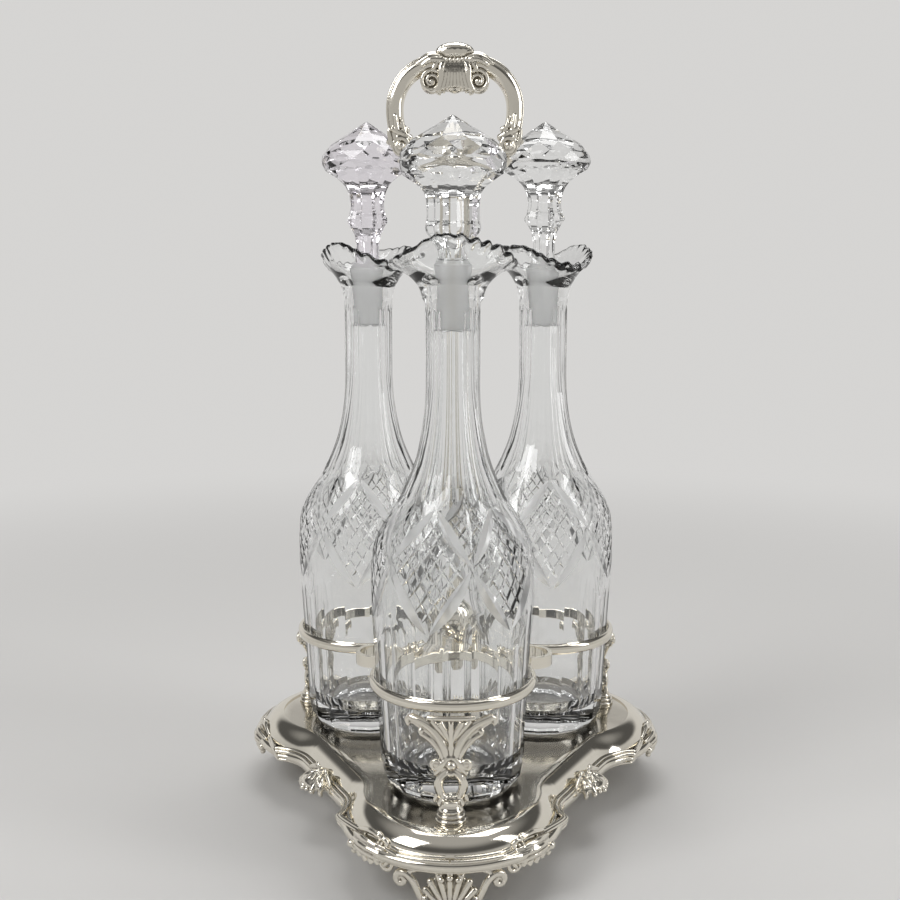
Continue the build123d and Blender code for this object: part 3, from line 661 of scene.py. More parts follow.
def wheel_bar(half_angle, steps):
    """A V-edged bar of unit length in equal steps, its edge along X at the origin and its back up Z."""
    bar = stack_polygons("wheel_bar", 3, [(1.0, float(step), 0) for step in range(steps + 1)])
    corners = [vertex.co.copy() for vertex in bar.data.vertices]
    sharp = max(corners, key=lambda corner: corner.y).xy
    for vertex in bar.data.vertices:
        share = round(vertex.co.z / MM) / steps
        if (vertex.co.xy - sharp).length < 0.01 * MM:
            vertex.co = (share, 0, 0)
        else:
            vertex.co = (share, copysign(tan(half_angle), vertex.co.x), 1)
    edit_all(bar, bpy.ops.mesh.normals_make_consistent, inside=False)
    return bar


def lay_bar(bar, start, end, lean, back, depth):
    """A copy of the bar laid over the bottle from one (angle, height) to another.

    It leans towards its left side, and depth says how deep its edge runs at each share of the way."""
    copy = own_copy(bar)
    step = 0.02

    def at(share):
        return [low + (high - low) * share for low, high in zip(start, end)]

    for vertex in copy.data.vertices:
        share, across, rise = vertex.co
        outward = outward_on_bottle(*at(share))
        along = (on_bottle(*at(share + step)) - on_bottle(*at(share - step))).normalized()
        up = (outward - along * outward.dot(along)).normalized()
        up = up * cos(lean) + up.cross(along) * sin(lean)
        edge = on_bottle(*at(share)) - outward * depth(share)
        vertex.co = (edge + up.cross(along) * across * back + up * rise * back) * MM
    return copy


def petal(deepest):
    """The depth of a blade cut that comes to a point at both ends."""
    above = 0.25
    return lambda share: (deepest + above) * max(0.0, sin(pi * share)) ** 0.8 - above


def groove(deepest):
    """The depth of a fine cut that is level but for its ends."""
    return lambda share: deepest * min(1.0, 0.2 + 6.4 * min(share, 1 - share))


def cut_lozenges(bottle, glass):
    """Six lozenges around the shoulder: broad blade cuts around a lattice of fine ones."""
    blade_steps, fine_steps = 12, 8
    blade_lean, fine_half_angle = radians(10), radians(56)
    blade_back, fine_back, split_back = 5.0, 2.6, 3.0
    inset = 0.04
    blade = wheel_bar(glass.blade_half_angle, blade_steps)
    fine = wheel_bar(fine_half_angle, fine_steps)
    blade.data.materials.append(wheel_finish(glass))
    pitch = 360 / LOZENGES
    half = pitch / 2
    left, right = (-half, LOZENGE_SIDE), (half, LOZENGE_SIDE)
    top, bottom = (0, LOZENGE_TOP), (0, LOZENGE_BOTTOM)
    for start, end, deepest in (
        (left, top, 1.72), (top, right, 1.76), (right, bottom, 1.97), (bottom, left, 2.02),
    ):
        bars = []
        for panel in range(LOZENGES):
            middle = panel * pitch
            bars.append(
                lay_bar(
                    blade, (middle + start[0], start[1]), (middle + end[0], end[1]),
                    blade_lean, blade_back, petal(deepest),
                )
            )
        cut(bottle, join("blade_cuts", bars))
    lines = glass.lattice_lines + 1
    for first, second, deepest in (
        ((left, bottom), (top, right), 0.78), ((left, top), (bottom, right), 0.73),
    ):
        bars = []
        for panel in range(LOZENGES):
            middle = panel * pitch
            for line in range(1, lines):
                ends = []
                for low, high in (first, second):
                    share = line / lines
                    ends.append([one + (other - one) * share for one, other in zip(low, high)])
                start, end = [
                    (middle + near[0] + (far[0] - near[0]) * inset, near[1] + (far[1] - near[1]) * inset)
                    for near, far in (ends, reversed(ends))
                ]
                bars.append(lay_bar(fine, start, end, 0.0, fine_back, groove(deepest)))
        cut(bottle, join("fine_cuts", bars))
    splits = []
    for panel in range(LOZENGES):
        angle = (panel + 0.5) * pitch + OFF_LINE["split"]
        splits.append(
            lay_bar(
                fine, (angle, LOZENGE_SIDE + 6), (angle, LOZENGE_TOP + 4), 0.0, split_back, petal(0.9)
            )
        )
    cut(bottle, join("split_cuts", splits))
    discard(blade, fine)


def cut_flutes(bottle):
    """Flat flutes up the body, ending in arches, and up the neck from the shoulder to the flare."""
    arris = 0.14
    spare = 0.12
    clear = 70.0
    neck_hollow = 0.94
    rings = [
        (32.6 - arris, -2.0, 0), (32.6 - arris, 0.6, 0), (35.7 - arris, 2.7, 0), (37.7 - arris, 6.2, 0),
        (38.9 - arris, 13.0, 0),
        (42.4 - arris, 80.0, 0), (44.6, 97.0, 0), (46.2, 111.0, 0), (clear, 111.6, 0), (clear, 320.0, 0),
    ]
    envelope = stack_polygons("body_envelope", BODY_FLUTES, rings)
    for vertex in envelope.data.vertices:
        height = vertex.co.z / MM
        beside = round(degrees(atan2(vertex.co.y, vertex.co.x))) % 60 == 30
        if beside and 95 < height < 100:
            vertex.co.xy = vertex.co.xy.normalized() * (outer_radius(height) - arris) * MM
        elif beside and 105 < height < 111.2:
            vertex.co.xy = vertex.co.xy.normalized() * (outer_radius(height) + 0.2) * MM
    crease_quads(envelope)
    cut(bottle, envelope, "INTERSECT")
    rings = [(clear, -5.0, 0), (clear, 147.0, 0), (outer_radius(150) + 2.6, 150.0, 0)]
    for height in (158, 164, 170, 176, 182, 188, 195, 203, 212):
        rings.append((outer_radius(height) + spare, height, 0))
    rings += [(NECK + spare, FLARE - 6, 0), (NECK + 2.4, FLARE + 3, 0), (clear, FLARE + 3.6, 0),
              (clear, 320.0, 0)]
    envelope = stack_polygons("neck_envelope", 2 * NECK_FLUTES, rings)
    for vertex in envelope.data.vertices:
        step = round(degrees(atan2(vertex.co.y, vertex.co.x)) * NECK_FLUTES / 180)
        if step % 2 == 0:
            vertex.co.xy *= neck_hollow
    crease_quads(envelope)
    cut(bottle, envelope, "INTERSECT")


def master_bottle(glass):
    """The decanter that all three are copied from, standing at the origin."""
    outside = smooth_path(OUTER[5:], 3)
    flare = smooth_path(
        [(NECK, FLARE - 2), (NECK + 0.5, FLARE + 4), (NECK + 2.0, FLARE + 9.5), (NECK + 5.2, FLARE + 16),
         (NECK + 9.4, FLARE + 22.4), (NECK + 13.2, FLARE + 27.6), (MASTER_REACH - 1.0, LIP_TOP - 2.8)], 3,
    )
    edge = [
        (MASTER_REACH, LIP_TOP - 1.4), (MASTER_REACH - 0.1, LIP_TOP - 0.5), (MASTER_REACH - 0.8, LIP_TOP),
        (MASTER_REACH - 1.8, LIP_TOP - 0.1),
    ]
    throat = smooth_path(
        [(MASTER_REACH - 2.5, LIP_TOP - 0.9), (MASTER_REACH - 5.6, LIP_TOP - 4.4), (NECK + 6.4, FLARE + 23.6),
         (NECK + 2.6, FLARE + 18.2), (NECK - 0.8, FLARE + 13.8), (NECK - 3.2, FLARE + 11), (9.55, 266.0)], 3,
    )
    bore = smooth_path([(BORE, 238.0), (BORE + 0.05, 226.0), (BORE + 0.7, 212.0), (10.6, 199.0),
                        (12.5, 187.0)], 4)
    inside = [(radius - WALL, height) for radius, height in reversed(smooth_path(OUTER[6:-3], 3))]
    profile = (
        [(0, 1.4), (14, 1.2), (24, 0.6), (26.5, 0.0), (30.6, 0.0), (32.6, 0.6)]
        + smooth_path([(32.6, 0.6), (35.7, 2.7), (37.7, 6.2), (38.9, 13.0), (39.4, 23.0)], 3)[1:]
        + [(40.4, 42.0), (41.4, 61.0)]
        + outside
        + [(NECK, 226.0), (NECK, 241.0)]
        + flare + edge + throat
        + [(8.15, 243.0), (BORE, 242.0)]
        + bore + inside[1:]
        + [(37.8, 80.0), (36.4, 50.0), (34.6, 22.0), (32.0, 16.4), (28.0, 13.9), (20.0, 13.0), (0, 13.0)]
    )
    bottle = turn_profile("bottle", profile, 192)
    bottle.data.materials.append(glass_finish("clear_lead_glass", glass.clear_colour))
    bottle.data.materials.append(wheel_finish(glass))
    bottle.data.transform(Matrix.Rotation(radians(OFF_LINE["bottle"]), 4, "Z"))
    cut_flutes(bottle)
    cut_lozenges(bottle, glass)
    return bottle


def shape_lip(bottle, reach, spout):
    """Draws the mouth out into two low pouring sides and cuts small scallops around its edge."""
    scallops, throat, rim_width, dip = 25, 9.7, 6.0, 12.4
    for vertex in bottle.data.vertices:
        height = vertex.co.z / MM
        radius = vertex.co.xy.length / MM
        if height < FLARE or radius < throat:
            continue
        turn = atan2(vertex.co.y, vertex.co.x)
        low = (0.5 + 0.5 * cos(2 * (turn - radians(spout)))) ** 1.2
        share = (height - FLARE) / (LIP_TOP - FLARE)
        out = min(1.0, max(0.0, (radius - throat) / (MASTER_REACH - throat)))
        widest = reach / MASTER_REACH * (0.9 + 0.1 * low)
        rim = max(0.0, (radius - MASTER_REACH + rim_width) / rim_width) ** 1.3
        ruffle = turn + 0.05 * sin(3 * turn + spout) + 0.03 * sin(7 * turn)
        notch = 0.5 + 0.5 * cos(scallops * ruffle)
        wave = sin(scallops * ruffle + 2 * sin(2 * turn)) * 0.5
        radius *= 1 + (widest - 1) * out**1.2 + 0.09 * low * sin(pi * out**0.8)
        height -= dip * low * out**0.95 * min(1.0, share * 1.2)
        height += 1.3 * (1 - low) * out**2 * sin(5 * turn + spout)
        radius -= 0.9 * notch * rim
        height += (wave - 1.7 * notch) * rim
        radius = min(radius, reach)
        height = min(height, LIP_TOP - 0.1)
        vertex.co = (radius * MM * cos(turn), radius * MM * sin(turn), height * MM)
    bottle.data.update()


class DECANTER_OT_bottles(bpy.types.Operator):
    """Models the three cut-glass decanters"""

    bl_idname = "decanter_stand.bottles"
    bl_label = "Decanters"

    def execute(self, context):
        glass = context.scene.stand_glass
        master = master_bottle(glass)
        for name in LOBES:
            pick(master)
            bpy.ops.object.duplicate()
            bottle = context.object
            bottle.data = bottle.data.copy()
            bottle.data.transform(Matrix.Rotation(radians(DECANTER_TURN[name]), 4, "Z"))
            shape_lip(bottle, LIP_REACH[name], LIP_SPOUT[name])
            bottle.location = lobe_point(name, SPREAD, DECANTER_BASE)
            smooth(bottle, 17)
            for edge in bottle.data.edges:
                if min(bottle.data.vertices[end].co.z for end in edge.vertices) > (FLARE + 5) * MM:
                    edge.use_edge_sharp = False
            fit_piece(
                bottle, f"cut_decanter_{name}", f"decanter_{name}", "clear_glass", None, f"decanter_{name}"
            )
        discard(master)
        return {"FINISHED"}


# The stoppers' outlines as (radius, height) above the decanter's base, from the shank up to the tip
PLUG_TOP = 276.2
STOPPERS = {
    "front": {
        "flutes": 10,
        "shank": (7.5, 284.0),
        "stem": [(9.0, 287.4), (12.6, 290.6), (14.1, 293.8), (13.5, 297.4), (13.3, 303.4), (13.6, 308.2),
                 (14.3, 311.4)],
        "under": [(16.5, 314.4), (20.4, 317.4), (24.2, 320.0), (26.6, 322.8)],
        "rim": (27.3, 326.4),
        "crown": [(26.4, 331.2), (20.9, 336.8)],
        "tip": 349.7,
    },
    "right": {
        "flutes": 8,
        "shank": (6.3, 291.0),
        "stem": [(7.4, 296.6), (9.4, 300.4), (11.6, 303.8), (10.2, 307.6), (9.4, 312.4), (9.9, 317.2),
                 (11.3, 321.0)],
        "under": [(13.5, 324.4), (17.6, 328.0), (22.2, 331.0), (25.0, 333.0)],
        "rim": (26.4, 335.6),
        "crown": [(25.6, 340.4), (20.6, 345.8)],
        "tip": 359.5,
    },
    "left": {
        "flutes": 8,
        "shank": (6.8, 289.4),
        "stem": [(7.8, 295.2), (10.0, 299.2), (12.1, 302.8), (10.9, 306.6), (10.0, 311.4), (10.4, 316.6),
                 (11.7, 320.6)],
        "under": [(13.9, 324.2), (18.0, 328.0), (22.4, 331.0), (24.9, 333.0)],
        "rim": (26.2, 335.6),
        "crown": [(25.4, 340.6), (20.4, 346.0)],
        "tip": 359.8,
    },
}


class DECANTER_OT_stoppers(bpy.types.Operator):
    """Models the three stoppers"""

    bl_idname = "decanter_stand.stoppers"
    bl_label = "Stoppers"

    def execute(self, context):
        glass = context.scene.stand_glass
        for name in LOBES:
            stopper = self.model(name)
            if name == "left":
                clear = glass_finish("lilac_lead_glass", glass.lilac_colour)
            else:
                clear = glass_finish("clear_lead_glass", glass.clear_colour)
            stopper.location = lobe_point(name, SPREAD, DECANTER_BASE)
            smooth(stopper, 11)
            fit_piece(
                stopper, f"cut_stopper_{name}", f"stopper_{name}", "clear_glass", clear, f"stopper_{name}"
            )
            stopper.data.materials.append(ground_finish(glass))
            for face in stopper.data.polygons:
                height = (face.center.z - DECANTER_BASE) / MM
                if height < PLUG_TOP:
                    face.material_index = 1
        return {"FINISHED"}

    def model(self, name):
        """Turned as a blank, then ground: flutes up the stem, and facets around the rim and the crown."""
        shape = STOPPERS[name]
        shank, shank_height = shape["shank"]
        under = shape["under"]
        rim, rim_height = shape["rim"]
        crown = shape["crown"]
        tip = shape["tip"]
        flutes = shape["flutes"]
        stem = smooth_path([*shape["stem"], *under[:3]], 3)
        stem_top = shape["stem"][-1][1]
        widest_stem = max(radius for radius, height in shape["stem"]) + 1.6
        swell = [(3.5, -0.5), (2.6, -0.6), (1.1, -0.3), (0, 0)]
        flare = [(radius + out, height + up) for (radius, height), (out, up) in zip(under, swell)]
        blank = (
            [(0, 243.0), (7.4, 243.0), (8.0, 243.6), (10.0, 275.4), (9.4, PLUG_TOP), (shank + 0.8, 279.0),
             (shank + 0.9, shank_height - 1), (widest_stem, shank_height), (widest_stem, stem_top - 3)]
            + smooth_path([*flare, (rim, rim_height)], 4)
            + [(rim + 0.05, rim_height + 0.8), (rim + 0.6, rim_height + 4.0), (rim * 0.5, tip + 1.0),
               (0, tip + 1.0)]
        )
        stopper = turn_profile("stopper", blank, 100)
        clear = 40.0
        sharp = 1.03
        rings = [(clear, 235.0, 0), (clear, 278.6, 0), (shank * sharp, 279.4, 0),
                 (shank * sharp, shank_height, 0)]
        rings += [(radius * sharp, height, 0) for radius, height in stem]
        rings += [(under[3][0] * 1.12, under[3][1] - 0.6, 0), (clear, under[3][1] + 0.8, 0),
                  (clear, tip + 4, 0)]
        stem_envelope = stack_polygons("stem_envelope", 2 * flutes, rings)
        hollow = cos(pi / flutes) - 0.065
        for vertex in stem_envelope.data.vertices:
            step = round(degrees(atan2(vertex.co.y, vertex.co.x)) * flutes / 180)
            if step % 2 == 0:
                vertex.co.xy *= hollow
        crease_quads(stem_envelope)
        stem_envelope.data.transform(Matrix.Rotation(radians(OFF_LINE["stem"]), 4, "Z"))
        cut(stopper, stem_envelope, "INTERSECT")
        facets = 12
        half = 180 / facets
        rings = [
            (clear, 235.0, 0), (clear, under[3][1] - 1.6, 0), (under[3][0] * 1.045, under[3][1] - 0.6, 0),
            (rim * 1.02, rim_height, half), (crown[0][0] * 1.01, crown[0][1], 0),
            (crown[1][0] * 1.03, crown[1][1], half), (0.25, tip, half),
        ]
        head_envelope = stack_polygons("head_envelope", facets, rings)
        crease_quads(head_envelope)
        head_envelope.data.transform(Matrix.Rotation(radians(OFF_LINE["head"]), 4, "Z"))
        cut(stopper, head_envelope, "INTERSECT")
        return stopper


# The stand's shape, in millimetres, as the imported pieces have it
LOBE_DISTANCE = 77.0
LOBE_RADIUS = 43.0
SIDE_DISTANCE = 71.0
TRAY_WAIST = 38.0
LOBE_MIDDLE = AXIS + Vector((LOBE_DISTANCE * MM, 0, 0))
FOOT_CURVE = 54.5
CORNER_CURVE, CORNER_TURN = 54.6, 46
BRACKET_CURVE, BRACKET_TOP = 45.1, 53.3
CAST_GRAIN, BRACKET_GRAIN, YOKE_GRAIN = 0.36, 0.34, 0.4


def rim_point(offset, along):
    """A point on a line around the tray, at an offset outside its floor, from the middle of the left side
    of the front lobe (along 0) round to the lobe's nose; along runs from 0 to 1."""
    side = SIDE_DISTANCE + offset
    lobe = LOBE_RADIUS + offset
    waist = TRAY_WAIST - offset
    lobe_n, lobe_t = LOBE_DISTANCE * cos(pi / 3), LOBE_DISTANCE * sin(pi / 3)
    waist_n = side + waist
    waist_t = lobe_t - sqrt((lobe + waist) ** 2 - (waist_n - lobe_n) ** 2)
    turn_end = atan2(waist_n - lobe_n, lobe_t - waist_t)
    straight = waist_t
    bend = waist * turn_end
    nose = lobe * (turn_end + pi / 6)
    length = along * (straight + bend + nose)
    if length < straight:
        return side, length
    length -= straight
    if length < bend:
        turn = length / waist
        return waist_n - waist * cos(turn), waist_t + waist * sin(turn)
    length -= bend
    turn = turn_end - length / lobe
    return lobe_n + lobe * sin(turn), lobe_t + lobe * cos(turn)


def rim_line(offset, height, start, end, count=26):
    """Points along the rim from start to end, for the half side that leads to the front lobe."""
    line = []
    side, along = radians(SIDES["right"]), radians(-120)
    for step in range(count):
        n, t = rim_point(offset, start + (end - start) * step / (count - 1))
        line.append(
            (
                AXIS.x / MM + n * cos(side) + t * cos(along),
                AXIS.y / MM + n * sin(side) + t * sin(along),
                height,
            )
        )
    return line


class DECANTER_OT_feet(bpy.types.Operator):
    """Models the three shell feet"""

    bl_idname = "decanter_stand.feet"
    bl_label = "Feet"

    def execute(self, context):
        fit_around(self.model(), LOBES, "shell_foot", "foot")
        return {"FINISHED"}

    def model(self):
        """A scallop shell between scrolled legs, drawn flat and bent around the nose of a lobe."""
        hinge = (0, 4.2)
        centre = (0, 12.4)
        shell = 12.0
        half = [
            stroke(
                [(7.5, 0, 4), (12.5, 0, 7.5), (15.5, 0.4, 13), (18, 0.8, 19), (22, 1, 22.6),
                 (25.6, 1.1, 21.8)]
                + spiral((24.2, 18.6), 3.1, 0.5, 55, -1.35, 1.2),
                2.0, 0.8, 0.3,
            ),
            stroke(
                [(9.5, 0.6, 3), (13.6, 1, 9), (16.6, 1.6, 15.5), (20, 1.9, 20.6), (24, 2.1, 22.4)],
                0.6, 0.5, 0.3,
            ),
            stroke(spiral((32.5, 24.6), 3.9, 3.2, 60, -0.72, 1.4) + [(29.6, 1.2, 27.2)], 1.05, 0.8, 0.35),
            stroke([(31.2, 1.6, 26.5), (32, 2.4, 24), (33.6, 2.2, 23.2)], 1.3, 1.0),
            stroke([(34.6, 1.6, 26.6), (34, 2.2, 24.6)], 1.0, 0.8),
            stroke([(0, 0, 24.9), (12, 0, 25.1), (24, 0.2, 25.2), (33, 0.4, 25.4)], 1.7, 1.2),
            stroke([(13, 0.2, 25.2), (17.5, 0.6, 24.2), (20.5, 0.9, 22.8)], 0.7, 1.1),
        ]
        strokes = half + mirrored(half)
        beads = [bead((centre[0], -0.2, centre[1]), shell, (1, 0.22, 1))]
        rays = 9
        for ray in range(rays):
            turn = radians(90 + 62 * (1 - 2 * ray / (rays - 1)))
            end = self.edge(hinge, turn, centre, shell)
            mid = ((hinge[0] + end[0]) / 2, (hinge[1] + end[1]) / 2)
            strokes.append(
                stroke(
                    [(hinge[0], 2.0, hinge[1]), (mid[0], 2.9, mid[1]), (end[0], 1.0, end[1])],
                    0.5, 1.75, 0.1,
                )
            )
            beads.append(bead((end[0], 0.9, end[1]), 1.75))
        for across, up, size in ((-3.9, 21.6, 1.5), (0, 22.7, 1.7), (3.9, 21.6, 1.5)):
            beads.append(bead((across, 2.3, up), size))
        strokes.append(
            stroke(
                [(-9.0, 0.4, 3.2), (-4, 1.6, 4.6), (0, 2.2, 4.2), (4, 1.6, 4.6), (9.0, 0.4, 3.2)],
                1.4, 1.4, 0.3,
            )
        )
        for curl in (-1, 1):
            strokes.append(stroke(spiral((curl * 7.6, 5.6), 2.4, 0.6, 90, curl * 1.2, 1.4), 0.9, 0.6))
        start_clean()
        bpy.ops.mesh.primitive_cube_add(
            size=1, location=(0, 0, 1.6 * MM), scale=(17 * MM, 5.2 * MM, 3.2 * MM)
        )
        pad = bpy.context.object
        settle(pad)
        foot = join("foot", [draw_strokes("foot_strokes", strokes), pad, *beads])
        fuse(foot, CAST_GRAIN)
        for vertex in foot.data.vertices:
            vertex.co.z = max(vertex.co.z, 0.0)
        wrap(foot, FOOT_CURVE, LOBE_MIDDLE, 0)
        return foot

    def edge(self, hinge, turn, centre, shell):
        """Where a ray from the hinge leaves the shell's circle."""
        back = hinge[1] - centre[1]
        reach = -back * sin(turn) + sqrt(shell**2 - (back * cos(turn)) ** 2)
        return hinge[0] + reach * cos(turn), hinge[1] + reach * sin(turn)


class DECANTER_OT_rim_ornament(bpy.types.Operator):
    """Models the leaves, scrolls and reeds on the tray's rim"""

    bl_idname = "decanter_stand.rim_ornament"
    bl_label = "Rim ornament"

    def execute(self, context):
        corner = self.corner_leaf()
        for side, sign in (("near", -1), ("far", 1)):
            for name, turn in LOBES.items():
                copy = own_copy(corner)
                if sign < 0:
                    for vertex in copy.data.vertices:
                        vertex.co.x = -vertex.co.x
                    copy.data.flip_normals()
                wrap(copy, CORNER_CURVE, LOBE_MIDDLE, sign * CORNER_TURN)
                turn_about_axis(copy, turn)
                fit_cast(copy, f"corner_leaf_{name}_{side}", f"corner_mount_{name}_{side}")
        discard(corner)
        fit_around(self.side_leaf(), SIDES, "side_leaf", "side_mount")
        fit_around(self.reeds(), LOBES, "rim_reeds", drawn_at=LOBES["front"])
        return {"FINISHED"}

    def corner_leaf(self):
        """One corner's leaf and pearls, drawn flat as (across, out, up)."""
        strokes = [
            stroke([(-10, 0.4, 29), (-3, 1.8, 29.6), (5, 2.0, 29.8), (13, 0.8, 29.4)], 3.2, 2.4, 1.6),
            stroke(spiral((-8.4, 32.6), 3.7, 0.8, -40, 1.3, -0.4), 1.5, 1.0),
            stroke(spiral((-3.0, 34.4), 2.6, 0.7, 200, -1.2, -1.8), 1.1, 0.8),
            stroke([(-5, -1, 35.4), (0, -1.2, 36), (6, -1, 34.8), (13, -0.6, 33.0)], 1.5, 1.0, 0.5),
            stroke([(-6, 2.6, 32), (0, 3.6, 33.4), (7, 3.2, 32.6), (13.5, 1.8, 31.2)], 1.3, 0.9, 0.4),
            stroke([(-9, 3.6, 29), (0, 5.2, 30.6), (7, 4.8, 30.2), (13.5, 2.6, 29)], 1.3, 0.9, 0.4),
            stroke([(-9, 3.4, 26.4), (0, 5.2, 27.6), (7, 4.8, 27.4), (13.5, 2.4, 26.8)], 1.3, 0.9, 0.4),
        ]
        tips = (-7.8, 23.8, 1.6), (-3.8, 22.8, 1.8), (0.6, 22.4, 1.8), (5.0, 23.0, 1.7), (9.2, 24.2, 1.5)
        for across, low, size in tips:
            path = [(across + 2.4, 2.6, 28.6), (across + 1.2, 4.2, 25.8), (across, 3.0, low)]
            strokes.append(stroke(path, 1.3, size, 0.3))
        beads = [bead((12.2, 4.2, 26.4), 2.3), bead((11.0, 3.2, 22.9), 1.7), bead((-10.2, 2.4, 26.6), 2.0)]
        leaf = join("corner", [draw_strokes("corner_strokes", strokes), *beads])
        fuse(leaf, CAST_GRAIN)
        return leaf

    def side_leaf(self):
        """Drawn as (across, out, up), out from the middle of the side's edge, then turned to +X."""
        strokes = [
            stroke([(0, -4.5, 33.0), (0, 2, 33.8), (0, 8, 31.6), (0, 12.2, 27.0)], 2.2, 2.0, 0.6),
        ]
        half = [
            stroke([(1.5, -4, 32.8), (4.6, 2, 33.4), (8.0, 6.8, 30.8), (9.2, 9.6, 26.8)], 2.1, 1.9, 0.5),
            stroke([(2.5, -4, 32.4), (7.6, 0.4, 32.8), (11.4, 3.4, 29.6), (12.2, 4.6, 26.4)], 2.0, 1.7, 0.4),
            stroke([(0.8, 2.4, 35.0), (3.0, 8, 32.6), (4.6, 11.4, 27.6)], 1.1, 1.3, 0.4),
            stroke([(3.4, 1, 34.9), (7.4, 4.6, 32.6), (10.4, 7.0, 27.6)], 0.9, 1.1, 0.3),
            stroke(spiral((6.6, 35.0), 2.9, 0.7, 180, -1.25, -2.4), 1.3, 0.8),
            stroke([(4, -3.6, 34.4), (9, -2.6, 35.0), (14, -1.6, 33.4), (17.6, -0.8, 32.2)], 1.7, 1.0, 0.3),
            stroke([(9, -1, 28), (13, -0.4, 29.4), (17.6, 0, 29.6)], 1.9, 1.0, 0.2),
        ]
        strokes += half + mirrored(half)
        beads = [bead((0, 2.0, 29.4), 9.6, (1.32, 1.06, 0.5)), bead((0, 12.2, 25.6), 2.1)]
        for side in (-1, 1):
            beads.append(bead((side * 4.6, 11.3, 26.2), 1.6))
            beads.append(bead((side * 9.0, 9.4, 25.6), 2.0))
            beads.append(bead((side * 12.2, 4.4, 25.8), 1.9))
        leaf = join("side_leaf", [draw_strokes("side_strokes", strokes), *beads])
        fuse(leaf, CAST_GRAIN)
        edge = (SIDE_DISTANCE + 16.5) * MM
        narrow, short, lift, top = 0.86, 0.78, 0.34, 33.0
        for vertex in leaf.data.vertices:
            across, out, up = vertex.co
            far = max(0.0, out / MM) / 14
            across *= narrow
            up += (lift * (top * MM - up)) * min(1.0, far * 1.4)
            vertex.co = (AXIS.x + edge + out * short, AXIS.y + across, up)
        leaf.data.flip_normals()
        return leaf

    def reeds(self):
        """Reeds along both concave sides of the front lobe."""
        strokes = []
        rows = (12.3, 32.2, 1.1), (14.3, 31.2, 1.1), (15.25, 28.9, 1.1), (14.9, 26.6, 1.0)
        for offset, height, radius in rows:
            line = rim_line(offset, height, 0.09, 0.575)
            strokes.append(stroke(line, radius, radius))
            strokes.append(stroke([(2 * AXIS.x / MM - x, y, z) for x, y, z in line], radius, radius))
        reeds = draw_strokes("reeds", strokes)
        pick(reeds)
        bpy.ops.object.shade_smooth()
        return reeds


